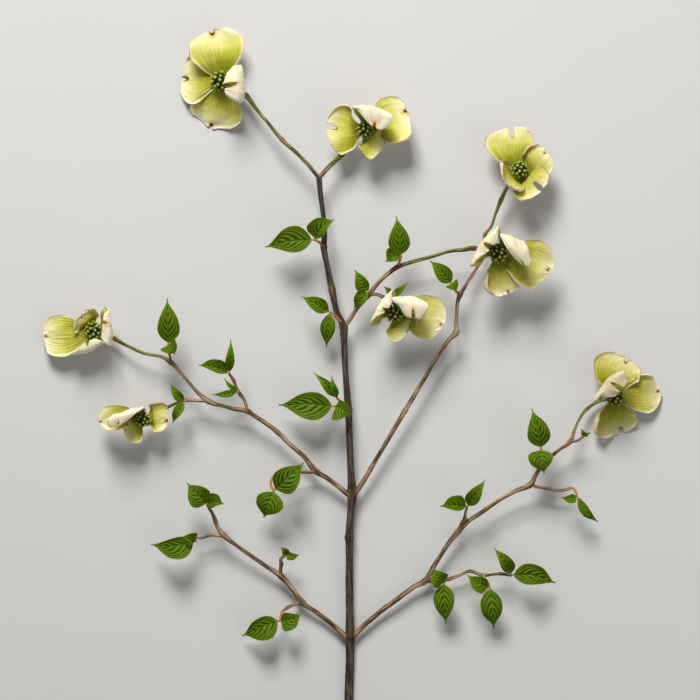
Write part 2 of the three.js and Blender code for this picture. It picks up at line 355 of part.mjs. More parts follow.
// A tapering tube with flat ends: one ring of points for each of the curve's places, with the rings' start
// carried along without twisting.
function tube(points, radii, sides) {
  const curve = curveThrough(points);
  const last = points.length - 1;
  const vertices = [];
  const side = new THREE.Vector3();
  for (let i = 0; i <= last; i += 1) {
    const tangent = curve.getTangent(i / last);
    if (i === 0) side.crossVectors(UP, tangent);
    side.addScaledVector(tangent, -side.dot(tangent)).normalize();
    const other = new THREE.Vector3().crossVectors(tangent, side);
    for (let k = 0; k < sides; k += 1) {
      const angle = (2 * Math.PI * k) / sides + Math.PI / sides;
      const offset = side.clone().multiplyScalar(Math.cos(angle)).addScaledVector(other, Math.sin(angle));
      vertices.push(points[i].clone().addScaledVector(offset, radii[i]));
    }
  }
  const triangles = [];
  for (let i = 0; i < last; i += 1) {
    for (let k = 0; k < sides; k += 1) {
      const a = i * sides + k;
      const b = i * sides + ((k + 1) % sides);
      triangles.push([a, b, b + sides], [a, b + sides, a + sides]);
    }
  }
  for (let k = 1; k < sides - 1; k += 1) {
    triangles.push([0, k + 1, k], [last * sides, last * sides + k, last * sides + k + 1]);
  }
  return closedGeometry(vertices, triangles);
}

// A thin sheet of even thickness from a surface P(u, v), with both faces split into the same triangles.
function sheet(surface, rows, columns, thickness) {
  const front = [];
  const back = [];
  const nudge = 0.004;
  for (let i = 0; i <= rows; i += 1) {
    for (let j = 0; j <= columns; j += 1) {
      const u = i / rows;
      const v = (2 * j) / columns - 1;
      const lengthwise = surface(Math.min(u + nudge, 1), v).sub(surface(Math.max(u - nudge, 0), v));
      const crosswise = surface(u, Math.min(v + nudge, 1)).sub(surface(u, Math.max(v - nudge, -1)));
      const normal = lengthwise.cross(crosswise).normalize();
      front.push(surface(u, v).addScaledVector(normal, thickness / 2));
      back.push(surface(u, v).addScaledVector(normal, -thickness / 2));
    }
  }
  const width = columns + 1;
  const offset = front.length;
  const triangles = [];
  for (let i = 0; i < rows; i += 1) {
    for (let j = 0; j < columns; j += 1) {
      const a = i * width + j;
      const [b, c, d] = [a + width, a + width + 1, a + 1];
      triangles.push([a, b, c], [a, c, d]);
      triangles.push([a + offset, c + offset, b + offset], [a + offset, d + offset, c + offset]);
    }
  }
  const rim = [];
  for (let i = 0; i < rows; i += 1) rim.push(i * width);
  for (let j = 0; j < columns; j += 1) rim.push(rows * width + j);
  for (let i = rows; i > 0; i -= 1) rim.push(i * width + columns);
  for (let j = columns; j > 0; j -= 1) rim.push(j);
  rim.forEach((a, k) => {
    const b = rim[(k + 1) % rim.length];
    triangles.push([a, a + offset, b + offset], [a, b + offset, b]);
  });
  return closedGeometry([...front, ...back], triangles);
}

// ---- the shape of a blade ----

// Width of a bract along its length, as a share of the widest place: a broad foot that swells as a sine to
// the widest place and closes there with a quarter of an ellipse.
function bractOutline(s) {
  const [widest, foot, power, beyond] = [0.64, 0.13, 1.15, 1.03];
  if (s < widest) return foot + (1 - foot) * Math.sin((Math.PI / 2) * (s / widest)) ** power;
  return Math.sqrt(1 - ((s - widest) / (beyond - widest)) ** 2);
}

// Width of a leaf along its length: a short stalk, an egg-shaped blade, and a tip drawn out to a point.
function leafOutline(s) {
  const [stalk, widest, least] = [0.05, 0.38, 0.05];
  const rise = Math.sin((Math.PI / 2) * Math.max((s - stalk) / (widest - stalk), 0)) ** 0.75;
  const fall = Math.cos((Math.PI / 2) * Math.min((s - widest) / (1 - widest), 1)) ** 1.7;
  return Math.max(s < widest ? rise : fall, least);
}

// A blade's surface P(u, v): u runs along the midline and v across it, from -1 at the right edge to 1 at the
// left. The midline is a curve through the given points. The rows across it are square to it, or all along
// the crease where the blade has one. Each half leaves the midline at the fold angle and turns up along a
// circular arc, more so towards the tip, and lies flatter where the blade is narrow. The notch draws the
// middle of the tip back, and the trim each side's corner.
function bladeSurface({ line, half, curl, crease, fold = 0, notch = 0, trim = [0, 0] }, outline) {
  const curve = curveThrough(line);
  const first = line[1].clone().sub(line[0]);
  const level = crease
    ? new THREE.Vector3(crease[0], -crease[1], 0).normalize()
    : new THREE.Vector3(-first.y, first.x, 0).normalize();
  const [notchWidth, cornerStart, reachBack, flatShare, fullyCurled] = [0.16, 0.1, 0.02, 0.25, 0.4];
  return (u, v) => {
    const onLeft = v >= 0;
    const nearCorner = Math.max((Math.abs(v) - cornerStart) / (1 - cornerStart), 0) ** 1.4;
    const drawnBack = notch * Math.exp(-((v / notchWidth) ** 2)) + trim[onLeft ? 0 : 1] * nearCorner;
    const s = u * (1 - drawnBack * u);
    const ahead = curve.getPointAt(Math.min(s + reachBack, 1));
    const behind = curve.getPointAt(Math.max(s - reachBack, 0));
    const tangent = ahead.sub(behind).normalize();
    const across = level.clone();
    if (!crease) across.addScaledVector(tangent, -level.dot(tangent)).normalize();
    const up = new THREE.Vector3().crossVectors(tangent, across).normalize();
    const share = outline(s);
    const width = (onLeft ? half[0] : half[1]) * share;
    const open = Math.min(share / fullyCurled, 1);
    const turn = radians(onLeft ? curl[0] : curl[1]) * (flatShare + (1 - flatShare) * s) * open;
    const lean = radians(fold) * open;
    const reach = (Math.sin(lean + turn * Math.abs(v)) - Math.sin(lean)) / turn;
    const rise = (Math.cos(lean) - Math.cos(lean + turn * Math.abs(v))) / turn;
    return curve.getPointAt(s)
      .addScaledVector(across, Math.sign(v) * reach * width)
      .addScaledVector(up, rise * width);
  };
}

// ---- the wood ----

function woodRoute({ rows, bloom }) {
  const points = rows.map(place);
  const radii = rows.map((row) => (row[3] * STEP) / 2);
  if (bloom) {
    const centre = place(BLOOMS[bloom - 1].centre);
    points.push(centre.clone().setZ(centre.z + PEDUNCLE_BEND), centre.clone().setZ(centre.z + PEDUNCLE_END));
    radii.push(PEDUNCLE_RADIUS, PEDUNCLE_RADIUS);
  }
  return { points, radii };
}

function woodyBranch() {
  const twigSides = 5;
  return join(Object.values(WOOD).map((route) => {
    const { points, radii } = woodRoute(route);
    return tube(points, radii, route.sides ?? twigSides);
  }));
}

// ---- the blooms ----

// The midline of a bract: from inside the receptacle, level under the flower head, then along its own line.
function bractLine(bloom, line) {
  const centre = place(bloom.centre);
  const points = line.map(([x, y, height]) => place([x, y, centre.z + height]));
  const outward = points[0].clone().sub(centre).setZ(0).normalize();
  const at = ({ radius, height }) => (
    centre.clone().addScaledVector(outward, radius).addScaledVector(UP, height));
  return [at(BRACT_ROOT), at(BRACT_HEEL), ...points];
}

function receptacle(bloom) {
  const profile = [
    [0, RECEPTACLE_FOOT], [RECEPTACLE_FOOT_RADIUS, RECEPTACLE_FOOT],
    [RECEPTACLE_RADIUS, RECEPTACLE_TOP - RECEPTACLE_RIM], [RECEPTACLE_RADIUS, RECEPTACLE_TOP],
    [0, RECEPTACLE_TOP],
  ].map(([radius, height]) => new THREE.Vector2(radius, height));
  const geometry = new THREE.LatheGeometry(profile, 10);
  geometry.rotateX(Math.PI / 2);
  const centre = place(bloom.centre);
  return geometry.translate(centre.x, centre.y, centre.z);
}

function bloomBracts(bloom) {
  const bracts = bloom.bracts.map((bract) => {
    const surface = bladeSurface({ ...bract, line: bractLine(bloom, bract.line) }, bractOutline);
    return sheet(surface, bract.line.length + 2, 4, BRACT_THICKNESS);
  });
  return join([receptacle(bloom), ...bracts]);
}

// One closed flower: a four-sided bud that swells above its foot and ends in a blunt point.
function bud(foot, direction, size) {
  const profile = [[0.1, 0.5], [0.62, 1.0]]; // share of the length, share of the radius
  const side = new THREE.Vector3().crossVectors(direction, UP);
  if (side.length() < 0.1) side.set(1, 0, 0);
  side.normalize();
  const other = new THREE.Vector3().crossVectors(direction, side);
  const points = [];
  for (const [along, out] of profile) {
    for (let k = 0; k < BUD_SIDES; k += 1) {
      const angle = (2 * Math.PI * k) / BUD_SIDES;
      points.push(foot.clone()
        .addScaledVector(direction, along * BUD_LENGTH * size)
        .addScaledVector(side, Math.cos(angle) * out * BUD_RADIUS * size)
        .addScaledVector(other, Math.sin(angle) * out * BUD_RADIUS * size));
    }
  }
  const triangles = [];
  for (let i = 0; i < profile.length - 1; i += 1) {
    for (let k = 0; k < BUD_SIDES; k += 1) {
      const a = i * BUD_SIDES + k;
      const b = i * BUD_SIDES + ((k + 1) % BUD_SIDES);
      triangles.push([a, b, b + BUD_SIDES], [a, b + BUD_SIDES, a + BUD_SIDES]);
    }
  }
  const shoulder = (profile.length - 1) * BUD_SIDES;
  const tip = points.push(foot.clone().addScaledVector(direction, BUD_LENGTH * size)) - 1;
  for (let k = 0; k < BUD_SIDES; k += 1) {
    triangles.push([shoulder + k, shoulder + ((k + 1) % BUD_SIDES), tip]);
  }
  for (let k = 1; k < BUD_SIDES - 1; k += 1) triangles.push([0, k + 1, k]);
  return closedGeometry(points, triangles);
}

// The flower head: a small round core with closed flowers set on it by the golden angle.
function flowerHead(bloom) {
  const facing = new THREE.Vector3(...bloom.face).normalize();
  const turn = new THREE.Quaternion().setFromUnitVectors(UP, facing);
  const radius = HEAD_CORE_RADIUS * bloom.size;
  const centre = place(bloom.centre);
  const seat = RECEPTACLE_TOP + SEAT_GAP + radius * HEAD_SEAT;
  centre.add(new THREE.Vector3(facing.x * HEAD_LEAN, facing.y * HEAD_LEAN, seat));
  const core = new THREE.IcosahedronGeometry(radius, 0).translate(centre.x, centre.y, centre.z);
  const [highest, lowest] = [0.97, -0.12]; // cosines of the flowers' angles from the facing direction
  const buds = Array.from({ length: BUD_COUNT }, (_, k) => {
    const cosine = THREE.MathUtils.lerp(highest, lowest, k / (BUD_COUNT - 1));
    const sine = Math.sqrt(1 - cosine * cosine);
    const angle = k * GOLDEN_ANGLE;
    const direction = new THREE.Vector3(sine * Math.cos(angle), sine * Math.sin(angle), cosine);
    direction.applyQuaternion(turn);
    return bud(centre.clone().addScaledVector(direction, radius * BUD_SEAT), direction, bloom.size);
  });
  return join([core, ...buds]);
}

// ---- the leafy shoots ----

function leafyShoot(shoot) {
  const twig = woodRoute(WOOD[shoot.on]);
  const twigEnd = twig.points.at(-1);
  const ahead = curveThrough(twig.points).getTangent(1);
  const start = twigEnd.clone().addScaledVector(ahead, SEAT_GAP);
  const stemPoints = [start, start.clone().addScaledVector(ahead, SHOOT_START), ...shoot.route.map(place)];
  const startRadius = Math.min(twig.radii.at(-1), SHOOT_RADIUS);
  const stemRadii = [startRadius, startRadius, ...shoot.route.map((row) => (row[3] * STEP) / 2)];
  const stem = tube(stemPoints, stemRadii, 4);
  const root = stemPoints.at(-1).clone().addScaledVector(curveThrough(stemPoints).getTangent(1), -LEAF_ROOT);
  const leaves = shoot.leaves.map(({ line, half, fold }) => {
    const midrib = [root, ...line.map(place)];
    const rows = root.distanceTo(midrib.at(-1)) > LONG_LEAF ? 5 : 4;
    const surface = bladeSurface({ line: midrib, half, fold, curl: [LEAF_CURL, LEAF_CURL] }, leafOutline);
    return sheet(surface, rows, 2, LEAF_THICKNESS);
  });
  return join([stem, ...leaves]);
}

// ---- the whole branch ----

function piece(name, geometry, material) {
  geometry.computeVertexNormals();
  const mesh = new THREE.Mesh(geometry, material);
  mesh.name = name;
  return mesh;
}

const branch = new THREE.Group();
branch.add(piece('woody_branch', woodyBranch(), WOOD_COLOUR));
BLOOMS.forEach((bloom, k) => {
  branch.add(piece(`bloom_${k + 1}_bracts`, bloomBracts(bloom), BRACT_COLOUR));
  branch.add(piece(`bloom_${k + 1}_flowers`, flowerHead(bloom), FLOWER_COLOUR));
});
SHOOTS.forEach((shoot, k) => {
  branch.add(piece(`leafy_shoot_${String(k + 1).padStart(2, '0')}`, leafyShoot(shoot), LEAF_COLOUR));
});

export default branch;
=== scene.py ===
"""Flowering dogwood branch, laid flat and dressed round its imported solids.

Every solid is replaced by a finer piece of the same form: the wood gets bark, knots and rings, the bracts
get veins, rolled rims and the brown callus in their notch, the flower heads get their closed flowers, and
the leaves get their arched veins. Metres, +Z up, the branch lies on z = 0.
"""
import math

import bpy
import numpy as np
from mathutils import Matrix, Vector


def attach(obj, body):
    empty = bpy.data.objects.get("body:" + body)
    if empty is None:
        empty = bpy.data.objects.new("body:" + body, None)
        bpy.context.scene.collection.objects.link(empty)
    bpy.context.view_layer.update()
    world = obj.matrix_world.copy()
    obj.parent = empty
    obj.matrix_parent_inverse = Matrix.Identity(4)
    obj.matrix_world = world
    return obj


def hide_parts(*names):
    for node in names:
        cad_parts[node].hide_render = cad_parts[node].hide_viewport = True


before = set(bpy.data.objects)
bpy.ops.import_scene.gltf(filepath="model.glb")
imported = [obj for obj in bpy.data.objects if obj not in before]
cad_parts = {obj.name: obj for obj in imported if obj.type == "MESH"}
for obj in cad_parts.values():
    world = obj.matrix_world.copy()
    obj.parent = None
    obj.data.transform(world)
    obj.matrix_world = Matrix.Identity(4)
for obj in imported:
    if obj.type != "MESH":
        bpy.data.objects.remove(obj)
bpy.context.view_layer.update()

# ---- driving dimensions ----
MM = 0.001
STEP = 0.64 * MM  # one step of the drawing sheet that the places below are given on
SHEET_CENTRE = (352.2, 371.3)  # the sheet's x runs right and its y runs down; this place is the origin
BLADE_THICKNESS = 0.6 * MM  # of bracts and leaves along their midline
RIM_THICKNESS = 0.2 * MM
SEAT_GAP = 0.3 * MM
FLOOR_GAP = 0.01 * MM  # the least height of the wood over the floor

RECEPTACLE_RADIUS = 2.6 * MM
RECEPTACLE_FOOT_RADIUS = 1.5 * MM
RECEPTACLE_TOP = 0.2 * MM  # heights from the bloom's centre
RECEPTACLE_FOOT = -2.2 * MM
RECEPTACLE_SIDES = 20
PEDUNCLE_BEND = -5.0 * MM
PEDUNCLE_END = RECEPTACLE_FOOT - SEAT_GAP
PEDUNCLE_RADIUS = 1.05 * MM

BRACT_ROOT = (1.0 * MM, -0.8 * MM)  # distance from the bloom's axis, height over its centre
BRACT_HEEL = (5.5 * MM, -0.3 * MM)
BRACT_ROWS, BRACT_COLUMNS = 52, 57
ROLL_RADII = (1.6, 1.6, 1.6)  # mm, of the left rim, the right rim and the tip
CALLUS_SIZE = 0.7  # of the callus in the notch, where a bract has no size of its own
CALLUS_SPOT = (0.075, 0.2)  # its half length and half width at size 1, as shares of the bract's
HALO_SPOT = (0.15, 0.36)
PUCKER_SPOT = (0.12, 0.6)
KNOB_SPOT = (0.05, 0.14)
BRACT_LANES = 6.5  # veins from the midline to each side
BRACT_DRIFT = 0.06  # how far a vein strays, as a share of the half width
BRACT_PUCKERS = 4.5  # folds from the notch to each side
BRACT_VEIN = 0.08 * MM  # heights of the relief
BRACT_CRINKLE = 0.12 * MM
BRACT_SWELL = 0.5 * MM
BRACT_WAVE = 0.9 * MM
BRACT_FRILL = 0.2 * MM
BRACT_PUCKER = 0.3 * MM
BRACT_KNOB = 0.6 * MM
BRACT_MOST = 1.1 * MM  # what the whole relief stays under, on the midline and at the rim
BRACT_RIM_MOST = 0.35 * MM

HEAD_CORE_RADIUS = 5.0 * MM
HEAD_CORE_SHARE = 0.86  # the core's own radius, inside the flowers' shoulders
HEAD_CORE_RINGS, HEAD_CORE_SIDES = 13, 24
HEAD_LEAN = 2.5 * MM
HEAD_TOP, HEAD_FALL = 0.975, 1.12  # cosine of the first flower's lean, and how far it falls to the last's
BUD_COUNT = 22
BUD_LENGTH = 3.8 * MM
BUD_RADIUS = 1.2 * MM
BUD_SEAT = 0.68  # a flower's foot, as a share of the core's radius
BUD_SIDES = 12
BUD_PROFILE = np.array([  # share of the length, share of the radius
    (0.0, 0.01), (0.05, 0.55), (0.3, 0.8), (0.58, 1.0), (0.8, 0.92), (0.93, 0.62), (0.985, 0.3),
    (0.95, 0.01)])
BUD_LOBES = 0.12  # depth of the four lobes at a flower's tip, as a share of the radius
BUD_STRAY = 0.03  # how far a flower's direction strays
BUD_GIRTHS = (0.86, 1.08)  # range of the flowers' thickness, and of their length
BUD_LENGTHS = (0.9, 1.0)

TWIG_SIDES = 12
TWIG_RING_GAP = 0.7 * MM
TUBE_ENDS = ((0.8, 0.12), (0.4, 0.2), (0.05, 0.22))  # an end's rings: radius and way out, in radii
KNOT_EXCESS = 1.07  # a row of WOOD is a knot where it is thicker than its neighbours' mean by this factor
KNOT_RINGS = (-0.7 * MM, 0.8 * MM)  # places of the two rings from the knot
KNOT_RING_WIDTH = 0.45 * MM
KNOT_LUMP_WIDTH = 1.6 * MM
KNOT_STAIN_WIDTH = 2.2 * MM
KNOT_RING_HEIGHT, KNOT_LUMP_HEIGHT = 0.15, 0.05  # shares of the twig's radius
RIDGE_HEIGHT = 0.05
RIDGE_WAVES = (2, 3, 5, 7)  # ridges round a twig
RIDGE_TURNS = 40  # how often ridges turn round it in a metre
OLD_THICKNESS = (4.2, 6.8)  # steps: young bark up to the first, old bark from the second
GREEN_FADE = 6 * MM  # half the length on which bark turns green

SHOOT_START = 1.0 * MM
SHOOT_RADIUS = 0.85 * MM
SHOOT_SIDES = 10
SHOOT_RING_GAP = 0.4 * MM
LEAF_ROOT = 0.8 * MM
LEAF_ROWS, LEAF_COLUMNS = 54, 37
LEAF_CURL = 13  # degrees
LEAF_FULL_LENGTH = 30 * MM  # a shorter leaf has a lower relief
LEAF_VEIN_PAIRS = 6.5  # arched veins along a leaf
LEAF_ARCH = (0.24, 0.42)  # how far a vein runs on to the margin: as |v| does, and as |v|^3 does
LEAF_PILLOW = 0.36 * MM  # heights of the relief
LEAF_MIDRIB = 0.35 * MM
LEAF_WAVE = 0.6 * MM

GOLDEN_ANGLE = math.pi * (3 - math.sqrt(5))
RIGHT, AWAY, UP = np.eye(3)

# ---- places on the sheet ----
# Woody routes: each row is [x, y, height in mm, thickness in steps]. The first is the main stem, which has
# more sides than the others, and each other route starts inside the one that it grows from. A route with a
# bloom ends under that bloom, and is green for the given length in mm before it.
WOOD = {
    "main_stem": {"sides": 16, "rows": [
        [349, 716, 2.66, 9.0], [349, 690, 2.75, 8.8], [350, 660, 3.4, 8.4], [350, 651, 3.6, 8.9],
        [350, 638, 4.0, 9.6], [349.7, 620, 4.4, 8.0], [349.3, 583, 5.2, 7.7], [349.3, 545, 6.3, 7.5],
        [349.3, 538, 6.5, 8.6], [349.5, 530, 6.7, 7.6], [351, 510, 7.4, 7.6], [352.2, 494, 8.0, 9.8],
        [351.2, 478, 8.5, 7.1], [350, 456, 9.0, 6.8], [349.3, 430, 9.6, 6.6], [348.4, 411, 10.0, 7.6],
        [346.4, 385, 11.0, 6.2], [344.6, 356, 12.0, 6.2], [344, 340, 12.6, 6.8], [343.5, 327, 13.0, 8.0],
        [340.5, 319, 13.3, 6.2], [337, 312, 13.5, 5.8], [332, 290, 14.0, 6.6], [326.8, 264, 14.6, 5.6],
        [323.8, 247, 15.0, 6.4], [324.8, 230, 15.4, 4.8], [323, 213, 15.6, 4.8], [320, 190, 15.8, 5.2],
        [319, 177, 16.0, 6.0]]},
    "top_left": {"bloom": 1, "green": 80, "rows": [
        [319, 178, 16.0, 4.4], [311.8, 169, 16.0, 4.2], [299.3, 155.5, 15.6, 3.8],
        [282.3, 140, 14.6, 4.2], [267, 121.6, 12.6, 3.4], [256.4, 109, 10.6, 3.6], [246, 95, 8.0, 5.0],
        [236, 88, 6.6, 3.6], [226, 82.5, 6.3, 3.2]]},
    "top_right": {"bloom": 2, "green": 40, "rows": [
        [319, 178, 16.0, 4.6], [327, 169, 15.6, 4.6], [334, 161.8, 14.6, 4.8], [342, 154.3, 13.0, 5.2],
        [353, 141, 10.6, 3.8], [361, 131.5, 10.0, 3.4]]},
    "middle": {"bloom": 4, "green": 62, "rows": [
        [343.5, 328, 13.0, 4.8], [350, 319, 13.6, 4.6], [357, 308.2, 14.2, 4.2],
        [367.9, 295.7, 15.0, 5.0], [380, 281, 15.8, 4.0], [391.4, 271, 16.4, 4.6],
        [396.8, 267.3, 17.0, 4.6], [410, 262.6, 17.4, 3.8], [430, 257.2, 18.0, 3.6],
        [450, 251.2, 18.8, 3.6], [462, 250, 19.2, 4.4], [473, 248.5, 19.2, 4.8], [484, 250, 18.8, 3.8],
        [492, 253, 18.6, 3.4]]},
    "middle_spur": {"bloom": 5, "green": 12, "rows": [
        [367.9, 295.7, 15.0, 3.6], [375.7, 294.2, 15.4, 3.4], [384, 298, 15.6, 3.8], [391, 309, 15.4, 3.2]]},
    "upper_right": {"bloom": 3, "green": 42, "rows": [
        [352, 496, 8.0, 5.4], [357, 491, 8.4, 5.2], [362.5, 483, 8.8, 5.0], [380, 453, 10.4, 4.6],
        [405, 411, 12.0, 4.8], [423.6, 380, 13.2, 4.2], [441.4, 350, 14.6, 4.2],
        [450.4, 338.4, 15.4, 4.4], [455.7, 333, 16.0, 5.6], [456.2, 324, 16.0, 3.8],
        [457.5, 303, 16.0, 3.8], [460.2, 294.6, 15.6, 4.8], [466.4, 284, 13.8, 3.4],
        [473.6, 273, 11.4, 3.2], [479.8, 263, 9.8, 3.2], [484, 250, 9.4, 3.2], [485.4, 234, 10.8, 3.4],
        [491.4, 226, 11.4, 3.0], [496, 213, 12.0, 3.0], [501.2, 200, 12.4, 4.4], [507, 187, 12.0, 3.8],
        [514, 175.5, 11.6, 3.2]]},
    "upper_left": {"bloom": 6, "green": 48, "rows": [
        [352, 498, 8.0, 5.4], [347, 494, 8.2, 5.4], [337.5, 486, 8.8, 5.0], [325, 477, 9.4, 5.0],
        [316, 471.6, 10.0, 6.0], [303.6, 456.4, 10.8, 4.8], [289.3, 444, 11.4, 4.4],
        [278.6, 433.2, 12.0, 4.8], [266, 423.4, 12.4, 4.4], [253.6, 415.4, 12.8, 4.6],
        [247.3, 411, 13.0, 5.4], [234, 409, 13.2, 4.2], [221.4, 405.5, 13.4, 4.0],
        [214.3, 403.8, 13.6, 4.6], [208, 401, 13.8, 5.2], [198.2, 393, 14.0, 3.8],
        [180.4, 372.5, 14.4, 3.6], [171, 362.4, 14.4, 4.8], [162.5, 357.3, 14.0, 3.4],
        [142.9, 352.9, 12.6, 3.2], [123.2, 343.9, 9.6, 3.4], [114, 338.8, 7.0, 4.6], [104, 333, 5.2, 3.2],
        [98, 331, 4.6, 3.2]]},
    "left_spur": {"bloom": 7, "green": 26, "rows": [
        [208, 401, 13.8, 3.4], [196.4, 400.6, 14.2, 3.2], [185.7, 400, 14.4, 3.8],
        [179.7, 401.7, 14.4, 2.8], [171, 405.6, 13.8, 3.0], [162.5, 409.4, 12.4, 4.2],
        [153, 414.5, 10.0, 3.0], [147, 418, 9.2, 3.0]]},
    "left_twig": {"rows": [
        [247.3, 411, 13.0, 3.6], [244.5, 400.3, 14.0, 3.2], [240.4, 394.5, 14.8, 3.8],
        [237, 388.7, 15.4, 3.0], [233.7, 380.4, 16.4, 3.4], [230.6, 375.6, 17.0, 3.0]]},
    "short_twig": {"rows": [
        [316, 471.6, 10.0, 4.0], [308.6, 472.4, 11.0, 3.6], [300.9, 472.4, 12.0, 3.4],
        [286, 474.3, 13.4, 4.0], [277, 475, 14.0, 3.2]]},
    "low_left": {"rows": [
        [350, 640, 4.0, 6.0], [345, 637, 4.4, 5.8], [333, 626, 5.0, 5.2], [318.6, 615, 5.4, 4.9],
        [308, 608, 5.8, 4.8], [301.5, 603, 6.0, 6.2], [293.6, 591.8, 6.6, 4.7], [281, 577, 8.0, 5.8],
        [265, 566, 9.0, 4.4], [247, 553.4, 10.0, 4.2], [234.6, 544.5, 11.0, 4.0], [223, 535, 12.0, 5.4],
        [218.4, 529, 12.8, 3.8], [215.3, 521, 13.8, 4.2], [212, 512.6, 15.0, 3.4],
        [209.2, 508.2, 16.0, 3.4]]},
    "low_left_fork": {"rows": [
        [223, 535, 12.0, 3.6], [219, 535.8, 12.0, 3.2], [210, 535, 12.0, 3.4], [203, 537.8, 12.0, 2.8],
        [197.6, 537.8, 12.2, 2.8]]},
    "low_left_spur": {"rows": [
        [281, 577, 8.0, 4.2], [280.4, 570, 9.4, 3.6], [281.2, 564, 10.8, 4.0], [280.4, 559.6, 12.0, 3.2],
        [284.4, 555.8, 13.0, 3.4]]},
    "low_left_shoot": {"rows": [
        [301.5, 603, 6.0, 3.8], [295, 604.7, 6.6, 3.2], [288, 608, 7.4, 3.4], [283.8, 611, 8.0, 2.8]]},
    "low_right": {"bloom": 8, "green": 34, "rows": [
        [350, 640, 4.0, 6.4], [354, 636.5, 4.4, 6.0], [361, 629.5, 4.8, 5.4], [377.5, 615, 5.4, 5.2],
        [398.5, 599.3, 6.2, 5.2], [415, 587, 6.8, 5.0], [425, 582, 7.0, 6.0], [434, 567, 7.8, 4.8],
        [450, 542, 9.4, 4.6], [458, 532.5, 10.0, 5.6], [468, 522, 10.8, 4.4], [482.5, 512, 11.6, 4.6],
        [500, 499.8, 12.4, 4.2], [514.6, 491.6, 13.0, 4.4], [530.7, 484.5, 13.6, 5.6],
        [536, 474.6, 14.0, 4.2], [542.4, 465, 14.4, 4.8], [548.6, 458.6, 14.8, 3.8],
        [559.3, 449.6, 15.0, 3.8], [570, 441.6, 14.6, 4.8], [575.4, 428.2, 13.0, 2.9],
        [580.7, 417.5, 11.0, 2.8], [588, 408.6, 7.6, 3.6], [598, 402.4, 5.4, 3.2], [610, 398.8, 4.4, 3.2]]},
    "low_right_bud": {"rows": [
        [570, 441.6, 14.6, 3.4], [577, 440.7, 15.4, 2.8], [581.6, 437.4, 16.4, 2.8]]},
    "low_right_side": {"rows": [
        [530.7, 484.5, 13.6, 3.8], [538, 486.8, 13.4, 3.2], [548.6, 489, 13.0, 3.4],
        [561, 490.7, 12.8, 3.2], [570.6, 488.4, 13.2, 3.4]]},
    "low_right_spur": {"rows": [
        [458, 532.5, 10.0, 3.6], [461.4, 524, 12.0, 3.2], [464.9, 518.6, 13.6, 3.8],
        [465.4, 513, 14.8, 2.8], [466.3, 509.4, 15.6, 2.8]]},
    "low_right_spray": {"rows": [
        [425, 582, 7.0, 3.8], [436, 582, 7.2, 3.2], [449.5, 579.7, 7.6, 3.6], [460, 575.7, 8.4, 3.0],
        [470, 571.7, 9.2, 3.4], [483.4, 575.7, 10.2, 3.8], [491.4, 575, 11.0, 2.8], [501, 574, 11.8, 3.2],
        [508.4, 575.4, 12.4, 2.6]]},
    "stub_1": {"rows": [[323.8, 247, 15.0, 3.6], [321.2, 244.2, 17.6, 3.0]]},
    "stub_2": {"rows": [[396.8, 267.3, 17.0, 3.2], [398.2, 264.6, 19.4, 2.8]]},
    "stub_3": {"rows": [[367.9, 295.7, 15.0, 3.0], [368.1, 293.6, 17.8, 2.6]]},
    "stub_4": {"rows": [[460.2, 294.6, 15.6, 3.4], [457.4, 292.6, 18.0, 2.8]]},
    "stub_5": {"rows": [[343.5, 325, 13.0, 3.6], [339.0, 320.0, 15.6, 2.8]]},
    "stub_6": {"rows": [[348.4, 411, 10.0, 3.6], [343.6, 404.6, 13.0, 2.8]]},
    "stub_7": {"rows": [[348.4, 412, 10.0, 3.6], [342.8, 410.6, 12.6, 2.8]]},
    "stub_8": {"rows": [[171, 362.4, 14.4, 3.4], [170.4, 358.0, 16.8, 2.8]]},
    "stub_9": {"rows": [[185.7, 400, 14.4, 3.0], [185.4, 400.8, 16.6, 2.6]]},
    "stub_10": {"rows": [[430, 582, 7.0, 3.0], [431, 579, 9.2, 2.8]]},
    "stub_11": {"rows": [[483.4, 575.7, 10.2, 3.2], [484.6, 578, 12.4, 2.8]]},
    "stub_12": {"rows": [[239.6, 393.2, 14.8, 2.6], [238.8, 392.4, 16.8, 2.4]]},
    "stub_13": {"rows": [[543, 464.4, 14.6, 3.2], [542.6, 462.4, 17.0, 2.8]]},
    "stub_14": {"rows": [[385, 299, 15.6, 3.0], [389.5, 297, 15.8, 2.4]]},
    "bare_stub_1": {"rows": [[455.7, 333, 16.0, 3.4], [459.4, 331.6, 17.2, 2.4]]},
    "bare_stub_2": {"rows": [[464.9, 518.6, 13.6, 3.0], [468.4, 519.4, 14.6, 2.4]]},
}

